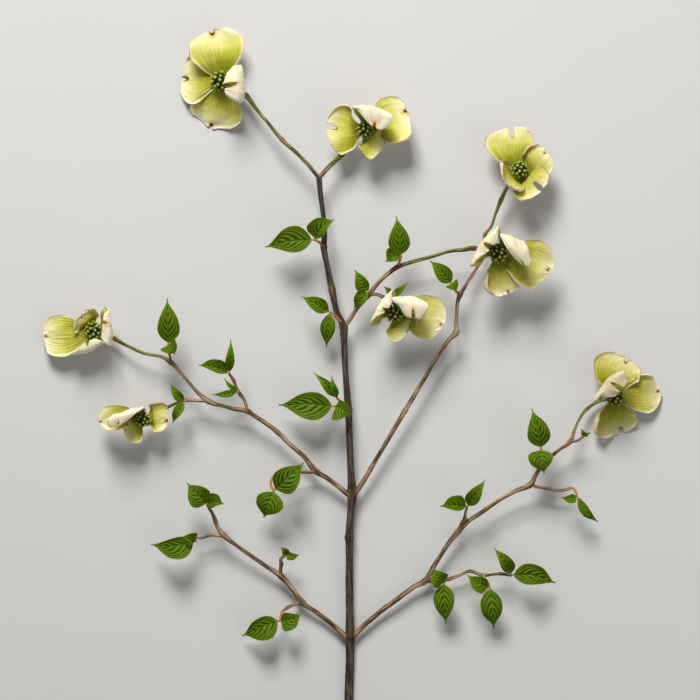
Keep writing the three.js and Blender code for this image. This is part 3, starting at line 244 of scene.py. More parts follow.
# Blooms: centre [x, y, height]; the direction that the flower head faces; the head's size; and, where its
# bracts are darkened as painted shade, how far from 0 to 1. A bract has its midline [x, y, height over the
# centre], outwards to the notch; its half widths left and right of that line, in mm; how far each half turns
# up at the edge, in degrees; the notch's depth and how far the left and the right corner are cut back, as
# shares of its length; and how far its left rim, right rim and tip roll up, in degrees. "rolled" gives those
# three their own radii in mm, "callus" gives the callus its own size, and "pleat" makes the veins that many
# times higher. A bract that folds back over itself also has the direction of its crease on the sheet, towards
# its left.
BLOOMS = [
    {"centre": [221.7, 81.2, 11.3], "face": [-0.3, 0.05, 0.95], "size": 1.0, "bracts": [
        {"line": [[217, 57, 2], [211, 29, 0]], "half": [17.5, 19.5], "curl": [14, 14], "notch": 0.09,
         "trim": [0.16, 0.02], "roll": [60, 30, 80], "callus": 1.1},
        {"line": [[206, 79, -3], [181, 77, -11]], "half": [16.5, 16.5], "curl": [16, 20], "notch": 0.19,
         "trim": [0.02, 0.14], "roll": [60, 120, 100], "callus": 1.1},
        {"line": [[217, 101, -3], [210, 125, -11]], "half": [18, 16.5], "curl": [10, -8], "notch": 0.1,
         "trim": [0.08, 0.14], "roll": [90, 0, 130], "callus": 1.1},
        {"line": [[237, 80, 4], [244.5, 83, 13], [238, 85, 21], [224, 88, 20.5]], "half": [12.5, 14],
         "curl": [28, 28], "notch": 0.2, "trim": [0.1, 0.0], "roll": [60, 60, 60], "callus": 1.1}]},
    {"centre": [364.2, 129.2, 15.0], "face": [0.1, -0.22, 0.96], "size": 0.85, "bracts": [
        {"line": [[350, 131, 2], [326, 126, 3]], "half": [16.5, 16], "curl": [-14, 14], "notch": 0.34,
         "trim": [0.5, 0.0], "roll": [110, 130, 120]},
        {"line": [[368, 116, 5], [372, 109.5, 12], [373.5, 108, 17], [375.5, 113, 21], [374, 130, 20]],
         "crease": [-0.97, -0.25], "half": [14, 12.5], "curl": [38, 34], "notch": 0.06, "trim": [0.2, 0.0],
         "roll": [30, 30, 40]},
        {"line": [[372, 136, 1], [386, 143, 1]], "half": [9.5, 14.5], "curl": [14, 12], "notch": 0.12,
         "trim": [0.0, 0.06], "roll": [40, 130, 150]},
        {"line": [[384, 120, 2], [407, 110, 0]], "half": [13.5, 19], "curl": [10, 30], "notch": 0.08,
         "trim": [0.0, 0.14], "roll": [60, 130, 120], "callus": 1.1}]},
    {"centre": [519.6, 171, 16.5], "faded": 0.25, "face": [-0.05, 0.25, 0.95], "size": 0.85, "bracts": [
        {"line": [[515.5, 154, 0], [511.5, 126, -5]], "half": [18.5, 12.5], "curl": [16, 14], "notch": 0.28,
         "trim": [0.13, 0.08], "roll": [40, 70, 60]},
        {"line": [[532, 162, 2], [547, 151, 1]], "half": [8.5, 12.5], "curl": [-20, 10], "notch": 0.12,
         "trim": [0.1, 0.0], "roll": [150, 40, 80]},
        {"line": [[529.5, 179, 4], [542, 190, 6]], "half": [11.5, 16], "curl": [14, 24], "notch": 0.4,
         "trim": [0.0, 0.04], "roll": [60, 130, 110]},
        {"line": [[511, 177, 3], [506, 181.5, 7], [503.5, 183.5, 12]], "half": [13, 14], "curl": [55, 50],
         "notch": 0.02, "trim": [0.0, 0.0], "roll": [90, 90, 90], "callus": 0.3}]},
    {"centre": [497.1, 254.3, 24.0], "faded": 0.25, "face": [0.1, 0.05, 0.97], "size": 0.95, "bracts": [
        {"line": [[489, 249.5, 5], [482, 244.5, 11], [481, 244, 15], [484, 245.5, 18.5], [491, 249, 19]],
         "crease": [-0.55, 0.84], "half": [16.5, 15.5], "curl": [12, 24], "notch": 0.18, "trim": [0.18, 0.0],
         "roll": [60, 60, 40]},
        {"line": [[506.6, 243.8, 6], [510.4, 238.6, 13], [512, 239, 18], [516, 251, 22], [522, 267, 19]],
         "crease": [-0.96, -0.28], "half": [9, 8.5], "curl": [12, 34], "notch": 0.04, "trim": [0.1, 0.0],
         "roll": [40, 40, 60]},
        {"line": [[523, 262, 2], [551, 271, -2]], "half": [16.5, 16], "curl": [14, 12], "notch": 0.1,
         "trim": [0.03, 0.24], "roll": [60, 60, 110]},
        {"line": [[502, 270, 0], [508.5, 293, -4]], "half": [13, 15.5], "curl": [12, 34], "notch": 0.08,
         "trim": [0.12, 0.0], "roll": [60, 150, 100], "rolled": [1.3, 2.6, 1.5]}]},
    {"centre": [394.5, 314.4, 20.0], "faded": 0.1, "face": [0.05, 0.1, 0.97], "size": 0.85, "bracts": [
        {"line": [[385, 311, 5], [379.5, 307, 11], [378.5, 306.5, 14.5], [381, 308, 17.5], [387, 311, 17.5]],
         "crease": [-0.49, 0.87], "half": [13, 15], "curl": [10, 20], "notch": 0.08, "trim": [0.3, 0.0],
         "roll": [60, 40, 30]},
        {"line": [[403.2, 303, 5.5], [408, 297.5, 13], [409, 297, 18], [411.5, 304, 22], [413, 319, 21]],
         "crease": [-0.99, -0.15], "half": [12, 12], "curl": [42, 38], "notch": 0.12, "trim": [0.0, 0.0],
         "roll": [30, 40, 60]},
        {"line": [[418, 317, 2], [443, 325.5, 0]], "half": [16, 13.5], "curl": [14, 12], "notch": 0.1,
         "trim": [0.0, 0.14], "roll": [60, 70, 120]},
        {"line": [[401, 324, 1], [409, 332.5, 1]], "half": [12, 12.5], "curl": [24, 14], "notch": 0.08,
         "trim": [0.0, 0.0], "roll": [70, 50, 70]}]},
    {"centre": [93.6, 330.3, 9.5], "face": [0.0, 0.0, 1.0], "size": 0.9, "bracts": [
        {"line": [[70, 334, 1], [41.5, 336, -4]], "half": [14.5, 13], "curl": [26, 12], "notch": 0.06,
         "trim": [0.1, 0.06], "roll": [40, 40, 60], "pleat": 4.0},
        {"line": [[86.5, 321.5, 3], [79, 315.5, 7]], "half": [10.5, 10], "curl": [12, 16], "notch": 0.14,
         "trim": [0.0, 0.0], "roll": [60, 60, 75], "rolled": [1.5, 1.5, 1.8]},
        {"line": [[103, 329, 3], [111, 326.5, 10], [110.5, 325, 15], [104, 322, 18.5]], "half": [13, 13],
         "curl": [20, 20], "notch": 0.08, "trim": [0.0, 0.1], "roll": [40, 40, 40]},
        {"line": [[91, 342, 0], [88.5, 350, 3], [88, 351, 7], [88, 348, 10], [88, 341.5, 11]],
         "crease": [0.94, -0.35], "half": [11.5, 11], "curl": [20, 20], "notch": 0.08, "trim": [0.0, 0.1],
         "roll": [40, 70, 40]}]},
    {"centre": [143.3, 419.8, 14.0], "faded": 0.1, "face": [0.0, 0.1, 0.97], "size": 0.8, "bracts": [
        {"line": [[121, 417, 3], [99, 422, 1]], "half": [8.5, 9], "curl": [30, 16], "notch": 0.05,
         "trim": [0.14, 0.0], "roll": [60, 60, 90]},
        {"line": [[134.9, 411.2, 5], [129, 410.2, 11], [126.5, 410.5, 15], [122.5, 416, 17.5],
                  [118.5, 426, 16]], "crease": [-0.97, 0.24], "half": [11, 11.5], "curl": [34, 10],
         "notch": 0.05, "trim": [0.0, 0.1], "roll": [40, 60, 40]},
        {"line": [[132, 426.5, 1.5], [123.5, 431, 0]], "half": [11.5, 8], "curl": [12, 14], "notch": 0.12,
         "trim": [0.0, 0.0], "roll": [60, 110, 100]},
        {"line": [[155, 419, 3], [168, 421, 2]], "half": [11.5, 8.5], "curl": [24, 24], "notch": 0.1,
         "trim": [0.0, 0.0], "roll": [90, 50, 110], "rolled": [1.5, 1.2, 2.0], "callus": 1.9}]},
    {"centre": [615.7, 397.3, 9.3], "faded": 0.45, "face": [-0.05, -0.05, 0.97], "size": 0.9, "bracts": [
        {"line": [[619, 379, 0], [628.5, 358.5, -3]], "half": [19, 13], "curl": [14, 12], "notch": 0.14,
         "trim": [0.03, 0.08], "roll": [90, 60, 90]},
        {"line": [[607.5, 390, 6], [603.5, 384.5, 12], [604, 382.5, 17], [609.5, 382.5, 20.5],
                  [621, 389.5, 19.5]], "crease": [-0.68, 0.73], "half": [14, 12.5], "curl": [34, 30],
         "notch": 0.22, "trim": [0.0, 0.0], "roll": [40, 40, 60]},
        {"line": [[638, 394.5, -2], [661, 391, -8]], "half": [12, 13], "curl": [14, 12], "notch": 0.08,
         "trim": [0.14, 0.0], "roll": [120, 40, 110]},
        {"line": [[618, 414, -2], [623.5, 432.5, -8.9]], "half": [12, 18], "curl": [10, 16], "notch": 0.18,
         "trim": [0.0, 0.0], "roll": [60, 150, 90], "rolled": [1.3, 3.4, 1.3]}]},
]

# Soft shoots with their leaves: the twig that the shoot grows from, its further route as in WOOD, and for
# each leaf a point half way along its midrib, its tip, its half widths left and right of the midrib in mm,
# and how many degrees each half stands up at the midrib.
SHOOTS = [
    {"on": "stub_1", "route": [[318.4, 241.8, 19.6, 2.8], [313.4, 239.5, 20.6, 2.6]], "leaves": [
        {"line": [[290, 242, 22], [265.3, 247.1, 16]], "half": [7.4, 10], "fold": 12},
        {"line": [[322, 228.5, 24.5], [334, 219.8, 22]], "half": [9, 4], "fold": 16}]},
    {"on": "stub_2", "route": [[400, 260, 21.8, 2.6], [401.3, 255.6, 23.2, 2.4]], "leaves": [
        {"line": [[399.5, 236, 28], [396.1, 217.1, 26]], "half": [8, 6.4], "fold": 14},
        {"line": [[393, 257, 24.5], [385.4, 262.3, 20]], "half": [3.6, 6.4], "fold": 14}]},
    {"on": "stub_3", "route": [[368.8, 291.2, 21, 2.2]], "leaves": [
        {"line": [[362, 280, 24], [354.5, 269.9, 22]], "half": [6.8, 3], "fold": 14},
        {"line": [[361, 300.5, 21.5], [353.8, 308.5, 17]], "half": [3, 5.6], "fold": 14}]},
    {"on": "stub_4", "route": [[453.8, 288, 20.4, 2.4], [451, 283, 21.4, 2.4]], "leaves": [
        {"line": [[440, 270.6, 25], [429.6, 260.6, 21]], "half": [5.4, 5.4], "fold": 14},
        {"line": [[453.5, 286.8, 24.6], [456.2, 291.6, 25]], "half": [4.8, 4.8], "fold": 22}]},
    {"on": "stub_5", "route": [[333.6, 314.6, 18, 2.4], [329, 311.4, 19, 2.2]], "leaves": [
        {"line": [[315, 304, 22], [301.4, 296.4, 18]], "half": [4.6, 5.6], "fold": 14},
        {"line": [[328, 329, 18.6], [326.4, 347.1, 12]], "half": [4.8, 5.2], "fold": 10}]},
    {"on": "stub_6", "route": [[339.6, 400.4, 16, 2.2], [336.2, 397.4, 17.4, 2.0]], "leaves": [
        {"line": [[326, 384, 22], [313.5, 372.3, 18]], "half": [3.4, 3.4], "fold": 18},
        {"line": [[333.4, 387, 22.5], [331.6, 375.2, 22]], "half": [2.6, 2.6], "fold": 18}]},
    {"on": "stub_7", "route": [[337.6, 408, 15, 2.4], [334, 405.6, 16.4, 2.4]], "leaves": [
        {"line": [[306, 404.4, 19], [278.6, 405, 12]], "half": [10.4, 8.4], "fold": 12},
        {"line": [[342, 409.2, 20.5], [351.9, 414.7, 19.5]], "half": [5.6, 9], "fold": 14}]},
    {"on": "stub_8", "route": [[169.4, 350, 20, 2.6], [168.8, 343.6, 21.6, 2.4]], "leaves": [
        {"line": [[168.4, 321, 27], [167.8, 298.7, 24]], "half": [6.8, 8.4], "fold": 14},
        {"line": [[172.4, 348.8, 25.4], [175.7, 354.3, 25]], "half": [6.8, 6.8], "fold": 26}]},
    {"on": "stub_9", "route": [[184.4, 401.8, 19.4, 2.2]], "leaves": [
        {"line": [[176.6, 392.4, 23], [170.7, 382.9, 20]], "half": [3.6, 2.8], "fold": 16},
        {"line": [[178, 412.6, 22], [172.4, 423.2, 17]], "half": [2.8, 3.8], "fold": 16}]},
    {"on": "left_twig", "route": [[229, 372.6, 19.8, 2.2]], "leaves": [
        {"line": [[214, 367, 23.5], [198.5, 365, 19]], "half": [3.2, 6.2], "fold": 14},
        {"line": [[231.4, 356, 26], [231.1, 338.9, 25]], "half": [3.4, 2.8], "fold": 18}]},
    {"on": "stub_12", "route": [[237.6, 391.4, 19, 2.0]], "leaves": [
        {"line": [[230, 385.4, 21.5], [224.2, 377.9, 20]], "half": [1.6, 1.6], "fold": 14},
        {"line": [[225, 394.2, 21], [211.8, 394.6, 18]], "half": [2.2, 2.4], "fold": 14}]},
    {"on": "short_twig", "route": [
        [271.6, 479, 15.6, 2.6], [271.2, 486, 17.4, 2.6], [274.8, 491.2, 19.0, 2.4]], "leaves": [
        {"line": [[288.4, 477, 24], [304, 462.5, 20]], "half": [8.2, 9.4], "fold": 14},
        {"line": [[268.8, 504, 19.5], [263.7, 517.6, 14]], "half": [9.6, 9], "fold": 12}]},
    {"on": "low_left", "route": [[207, 503.4, 19.2, 2.4]], "leaves": [
        {"line": [[197.4, 494, 23], [187.5, 483, 20]], "half": [7.8, 7.8], "fold": 14},
        {"line": [[215.4, 501.6, 23.5], [224.2, 503.7, 22]], "half": [7.2, 3.6], "fold": 14}]},
    {"on": "low_left_fork", "route": [[194.2, 539.2, 13.6, 2.4], [196, 541.2, 15.6, 2.4]], "leaves": [
        {"line": [[175, 545.6, 18.5], [150.8, 544.8, 13]], "half": [9.2, 5.8], "fold": 12},
        {"line": [[190, 538.6, 21], [181, 536.4, 22]], "half": [2.6, 5.4], "fold": 14}]},
    {"on": "low_left_spur", "route": [[286.8, 554, 15.4, 2.0]], "leaves": [
        {"line": [[284, 550, 18.5], [280.5, 546.4, 18.5]], "half": [2.4, 3], "fold": 16},
        {"line": [[292, 556, 18], [299.5, 554.6, 16.5]], "half": [2.6, 3], "fold": 16}]},
    {"on": "low_left_shoot", "route": [[280.6, 616.6, 10.6, 2.4], [279.6, 621.6, 12.4, 2.4]], "leaves": [
        {"line": [[261, 627.4, 14.5], [241.6, 636.6, 7]], "half": [9.4, 6.6], "fold": 12},
        {"line": [[290, 619.6, 16.5], [301.4, 614.2, 14]], "half": [5.4, 7.4], "fold": 14}]},
    {"on": "low_right_spur", "route": [[467, 506, 18.6, 2.2]], "leaves": [
        {"line": [[453, 505, 22.5], [439.9, 506.2, 18]], "half": [3.4, 7], "fold": 14},
        {"line": [[476, 492.6, 25], [485.1, 479.4, 22]], "half": [5.2, 4.4], "fold": 16}]},
    {"on": "stub_13", "route": [[541.6, 455, 20.2, 2.6], [540.6, 447.4, 22.4, 2.4]], "leaves": [
        {"line": [[536.6, 428, 27.5], [531.2, 408.7, 24]], "half": [7.6, 7.6], "fold": 14},
        {"line": [[541.2, 460, 26], [543.6, 473, 23]], "half": [7.4, 9], "fold": 12}]},
    {"on": "low_right_side", "route": [[575.6, 491.6, 14.6, 2.2], [577.4, 497, 15.8, 2.0]], "leaves": [
        {"line": [[569, 498, 18.5], [561, 497, 16.5]], "half": [3.8, 2.4], "fold": 16},
        {"line": [[586.4, 511, 16.6], [598.7, 522.7, 10]], "half": [2.6, 3.8], "fold": 14}]},
    {"on": "stub_10", "route": [
        [436, 575.6, 11.8, 2.4], [442, 577, 13.2, 2.4], [444.4, 583.4, 14, 2.2]], "leaves": [
        {"line": [[438.6, 577.4, 18.4], [433.8, 568.1, 16.5]], "half": [6.4, 6], "fold": 14},
        {"line": [[444.8, 604, 15], [446.2, 623.9, 9]], "half": [6.6, 7.6], "fold": 12}]},
    {"on": "stub_11", "route": [[488, 582.6, 14, 2.4], [489.8, 588.4, 14.8, 2.4]], "leaves": [
        {"line": [[478.4, 582.6, 18.4], [467.3, 575.3, 15]], "half": [6.2, 5], "fold": 14},
        {"line": [[492.4, 608, 15.6], [494.3, 629.3, 8]], "half": [7, 8.2], "fold": 12}]},
    {"on": "low_right_spray", "route": [[511.8, 574.8, 14.6, 2.2]], "leaves": [
        {"line": [[503.4, 560.6, 20.5], [493.7, 547.6, 18]], "half": [3.6, 5.6], "fold": 16},
        {"line": [[534, 575.4, 17.5], [556.2, 583.6, 10]], "half": [7.8, 6.4], "fold": 12}]},
    {"on": "low_right_bud", "route": [[584, 435, 18, 2.0]], "leaves": [
        {"line": [[582.4, 431.6, 20], [580.4, 428.4, 20]], "half": [1.6, 1.6], "fold": 18},
        {"line": [[587.4, 433.6, 20], [590.4, 432.6, 19.5]], "half": [1.6, 1.6], "fold": 18}]},
    {"on": "stub_14", "route": [[393.2, 295.6, 16, 2.0]], "leaves": [
        {"line": [[388.5, 290.5, 18], [383.5, 286.5, 18.5]], "half": [2.2, 2.2], "fold": 16},
        {"line": [[400.5, 289.5, 19], [407.5, 283, 19.5]], "half": [2.4, 2.4], "fold": 16}]},
]


# ---- curves and surfaces ----


def place(rows):
    """Sheet places [x, y, height in mm] as points in metres: x from the sheet's centre to the right, y from
    it upwards, and the height."""
    rows = np.asarray(rows, float)
    return np.stack([(rows[..., 0] - SHEET_CENTRE[0]) * STEP, (SHEET_CENTRE[1] - rows[..., 1]) * STEP,
                     rows[..., 2] * MM], axis=-1)


def unit(vectors):
    """Each vector divided by its length."""
    return vectors / np.maximum(np.linalg.norm(vectors, axis=-1, keepdims=True), 1e-12)


def curve_at(points, t):
    """A centripetal Catmull-Rom curve: a cubic between each two neighbours, whose slopes weigh the
    neighbouring chords by the square root of their lengths. t runs 0 to 1, one even step a chord, and the
    chords at both ends are carried straight on. Columns past the third, such as a radius, go along."""
    points = np.asarray(points, float)
    p = np.vstack([2 * points[0] - points[1], points, 2 * points[-1] - points[-2]])
    step = np.clip(t, 0, 1) * (len(points) - 1)
    k = np.minimum(step.astype(int), len(points) - 2)
    w = (step - k)[..., None]
    a, b, c, d = (p[k + i] for i in range(4))
    ka, kb, kc = (np.sqrt(np.linalg.norm(q - r, axis=-1, keepdims=True))
                  for q, r in ((b, a), (c, b), (d, c)))
    leave = ((b - a) / ka - (c - a) / (ka + kb) + (c - b) / kb) * kb
    arrive = ((c - b) / kb - (d - b) / (kb + kc) + (d - c) / kc) * kb
    return b + leave * w + (3 * (c - b) - 2 * leave - arrive) * w**2 + (2 * (b - c) + leave + arrive) * w**3


def by_length(points, share):
    """The curve's t at each share of its length, read from 200 short chords, and its whole length."""
    t = np.linspace(0, 1, 201)
    chords = np.linalg.norm(np.diff(curve_at(points, t)[:, :3], axis=0), axis=1)
    length = np.concatenate([[0], np.cumsum(chords)])
    return np.interp(share, length / length[-1], t), length[-1]


def end_of(rows):
    """The place where a route ends, and the direction that it ends in."""
    before, end = curve_at(rows, np.array([0.999, 1.0]))[:, :3]
    return end, unit(end - before)


def grid_normals(grid):
    """Unit normals of a surface grid: along its rows' direction crossed with along its columns'."""
    return unit(np.cross(np.gradient(grid, axis=0), np.gradient(grid, axis=1)))


def quads(rows, columns, wrap=False):
    """The faces of a grid of points in row order, as indices, closed round in columns where wrap is set."""
    i, j = np.meshgrid(np.arange(rows - 1), np.arange(columns if wrap else columns - 1), indexing="ij")
    k = (j + 1) % columns
    return np.stack([i * columns + j, (i + 1) * columns + j, (i + 1) * columns + k, i * columns + k],
                    axis=-1).reshape(-1, 4)


def tube_faces(rings, sides):
    """The faces of a closed tube of rings that turn about its way, facing out: the wall, and over both end
    rings a ladder of faces from each point to the one across. The number of sides is even."""
    i = np.arange(sides // 2 - 1)
    lid = np.stack([i, i + 1, sides - 2 - i, sides - 1 - i], axis=-1)
    return np.vstack([quads(rings, sides, wrap=True)[:, ::-1], lid[:, ::-1], lid + (rings - 1) * sides])


def angles_round(sides):
    """Even angles round a ring, from 0."""
    return np.linspace(0, 2 * math.pi, sides, endpoint=False)


def rings_about(middles, radius, angle, side, other):
    """Rings of points: middle + radius * (side * cos angle + other * sin angle)."""
    return (middles[:, None] + (radius * np.cos(angle))[..., None] * side
            + (radius * np.sin(angle))[..., None] * other)


def smooth(low, high, x):
    """0 below low, 1 above high, and 3x^2 - 2x^3 between."""
    x = np.clip((x - low) / (high - low), 0, 1)
    return x * x * (3 - 2 * x)


def bump(x, width):
    """A bell of height 1 at x = 0: exp(-(x / width)^2)."""
    return np.exp(-((x / width) ** 2))


def ripple(u, v, rng, high):
    """A gentle random wave, mostly from -1 to 1: six sines in u and v with random frequencies up to high and
    random phases, added up and divided by the square root of six."""
    waves, total = 6, 0
    for _ in range(waves):
        a, b = rng.uniform(-high, high, 2)
        total = total + np.sin(2 * math.pi * (a * u + b * v + rng.uniform()))
    return total / math.sqrt(waves)


class Shell:
    """Collects closed grids of points, with attributes of their points, and makes one mesh of them."""

    def __init__(self):
        self.points, self.faces, self.values, self.count = [], [], {}, 0

    def add(self, points, faces, **values):
        """Points as rows of x, y, z, faces that count from their first, and by name one value a point, or one
        for all. A value that other points lack is 0 there."""
        points = points.reshape(-1, 3)
        for name in {**self.values, **values}:
            known = self.values.setdefault(name, [np.zeros(len(p), np.float32) for p in self.points])
            known.append(np.broadcast_to(values.get(name, 0.0), (len(points),)).astype(np.float32))
        self.points.append(points)
        self.faces.append(faces + self.count)
        self.count += len(points)

    def piece(self, name, material, node):
        """The mesh as an object that rides on the root body and stands for its node."""
        points, faces = np.vstack(self.points), np.vstack(self.faces)
        mesh = bpy.data.meshes.new(name)
        mesh.from_pydata(points.tolist(), [], faces.tolist())
        for key, parts in self.values.items():
            mesh.attributes.new(key, "FLOAT", "POINT").data.foreach_set("value", np.concatenate(parts))
        mesh.validate()
        mesh.polygons.foreach_set("use_smooth", np.ones(len(mesh.polygons), bool))
        mesh.materials.append(material)
        made = bpy.data.objects.new(name, mesh)
        bpy.context.scene.collection.objects.link(made)
        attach(made, "root")
        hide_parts(node)


# ---- blades: bracts and leaves ----


def bract_outline(s):
    """Width of a bract along its length: a broad foot that swells as a sine to the widest place, and a
    quarter of an ellipse beyond it."""
    widest, foot, power, beyond = 0.64, 0.13, 1.15, 1.03
    rise = foot + (1 - foot) * np.sin(math.pi / 2 * np.clip(s / widest, 0, 1)) ** power
    fall = np.sqrt(1 - (np.clip(s - widest, 0, 1) / (beyond - widest)) ** 2)
    return np.where(s < widest, rise, fall)


def leaf_outline(s):
    """Width of a leaf along its length: a short stalk, then a power of a sine up to the widest place and a
    power of a cosine down to the drawn-out tip."""
    stalk, widest, least, shoulder, point = 0.05, 0.38, 0.05, 0.75, 1.7
    rise = np.sin(math.pi / 2 * np.clip((s - stalk) / (widest - stalk), 0, 1)) ** shoulder
    fall = np.cos(math.pi / 2 * np.clip((s - widest) / (1 - widest), 0, 1)) ** point
    return np.maximum(np.where(s < widest, rise, fall), least)


def sided(v, pair):
    """The first of the values on the left half, where v isn't negative, and the second on the right half."""
    return np.where(v >= 0, pair[0], pair[1])


def reach_and_rise(arc, slope):
    """How far each half reaches out and rises, from the middle column outwards: the sums of the cosine and
    the sine of its slope over the steps of its arc."""
    middle = arc.shape[1] // 2
    reach, rise = np.zeros_like(arc), np.zeros_like(arc)
    for side in (slice(middle, None), slice(middle, None, -1)):
        gaps = np.diff(arc[:, side], axis=1)
        steps = (slope[:, side][:, 1:] + slope[:, side][:, :-1]) / 2
        reach[:, side][:, 1:] = np.cumsum(np.cos(steps) * gaps, axis=1)
        rise[:, side][:, 1:] = np.cumsum(np.sin(steps) * gaps, axis=1)
    return reach, rise


def blade(line, half, curl, outline, u, v, crease=None, fold=0.0, notch=0.0, trim=(0.0, 0.0),
          roll=(0.0, 0.0, 0.0), rolled=ROLL_RADII):
    """P(u, v) = C(s) + across * sign(v) * reach + up * rise. u runs along the midline C and v across it,
    from -1 at the right edge to 1 at the left. s is u drawn back in the notch, and by each side's trim
    towards its corner. Each half leaves the midline at the fold angle and turns up along its arc by the curl
    angle, and over its last part, the hem, by the roll angle as well, on the rolled radius. Fold and curl
    grow from the foot, and rolls grow from the foot and halve towards the corners. The tip rolls up in the
    same way, along the midline. The rows are square to the midline, or all along the crease. Gives the
    points, and how far along the midline each one reaches, as a share."""
    line = np.asarray(line, float)
    first = line[1] - line[0]
    level = unit(np.array([crease[0], -crease[1], 0.0] if crease else [-first[1], first[0], 0.0]))

    def at(share):
        """The midline's places at shares of its length."""
        return curve_at(line, by_length(line, np.clip(share, 0, 1))[0])

    whole = by_length(line, 1.0)[1]
    corner = sided(v, trim) * np.clip((abs(v) - 0.1) / 0.9, 0, 1) ** 1.4
    radius, angle = rolled[2] * MM, np.radians(roll[2]) * (1 - 0.5 * abs(v))
    straight = whole - radius * np.minimum(angle, 1)
    length = u * (1 - (notch * bump(v, 0.16) + corner) * u) * (straight + radius * angle)
    past = np.maximum(length - straight, 0) / radius
    s = np.minimum(length, straight) / whole
    forward, lift = radius * np.sin(past), radius * (1 - np.cos(past))
    tangent = unit(at(s + 0.02) - at(s - 0.02))
    across = np.broadcast_to(level, tangent.shape)
    if not crease:
        across = unit(across - tangent * (tangent @ level)[..., None])
    up = unit(np.cross(tangent, across))
    reached = np.clip(s + np.maximum.accumulate(forward, axis=0) / whole, 0, 1)
    share = outline(reached)
    opened = np.minimum(share / 0.4, 1)
    width = sided(v, half) * MM * share
    turn = np.radians(sided(v, curl)) * (0.25 + 0.75 * reached) * opened
    hem = np.minimum(sided(v, rolled) * MM, 0.35 * width)
    over = np.radians(sided(v, roll)) * smooth(0.1, 0.4, reached) * (1 - 0.5 * smooth(0.8, 1, u))
    arc = abs(v) * (width + hem * np.maximum(over - 1, 0))
    slope = math.radians(fold) * opened + turn * np.minimum(arc / width, 1)
    slope = slope + np.maximum(arc - (width - hem * np.minimum(over, 1)), 0) / hem
    reach, rise = reach_and_rise(arc, slope)
    grid = at(s) + across * (np.sign(v) * reach)[..., None] + up * rise[..., None]
    normal = up * np.cos(slope)[..., None] - across * (np.sign(v) * np.sin(slope))[..., None]
    return grid + tangent * forward[..., None] + normal * lift[..., None], reached


def two_faced(shell, grid, relief, **values):
    """Adds a thin closed blade: the grid raised by its relief along its normals and kept over the floor, then
    half the thickness out on both sides. The thickness falls to the rim's with the square of edge, the
    nearness to the rim."""
    rows, columns = grid.shape[:2]
    grid = grid + grid_normals(grid) * relief[..., None]
    half = (BLADE_THICKNESS + (RIM_THICKNESS - BLADE_THICKNESS) * values["edge"] ** 2) / 2
    grid[..., 2] = np.maximum(grid[..., 2], half)
    offset = grid_normals(grid) * half[..., None]
    size = rows * columns
    front = quads(rows, columns)
    index = np.arange(size).reshape(rows, columns)
    rim = np.concatenate([index[:, 0], index[-1, 1:], index[-2::-1, -1], index[0, -2:0:-1]])
    after = np.roll(rim, -1)
    side = np.stack([rim, rim + size, after + size, after], axis=-1)
    faces = np.vstack([front, front[:, ::-1] + size, side])
    both = {name: np.tile(np.broadcast_to(value, (rows, columns)).ravel(), 2)
            for name, value in values.items()}
    shell.add(np.vstack([(grid + offset).reshape(-1, 3), (grid - offset).reshape(-1, 3)]), faces,
              back=np.repeat([0.0, 1.0], size), **both)


def bract_line(bloom, line):
    """A bract's midline: from inside the receptacle, level under the flower head, then its own places."""
    centre = place(bloom["centre"])
    points = place([[x, y, bloom["centre"][2] + height] for x, y, height in line])
    outward = points[0] - centre
    outward[2] = 0
    outward = unit(outward)
    near = [centre + outward * radius + UP * height for radius, height in (BRACT_ROOT, BRACT_HEEL)]
    return np.vstack([near, points])


def about_notch(u, v, spot):
    """A bell about the end of the midline: bump(1 - u) * bump(v), as long and as wide as the spot."""
    return bump(1 - u, spot[0]) * bump(v, spot[1])


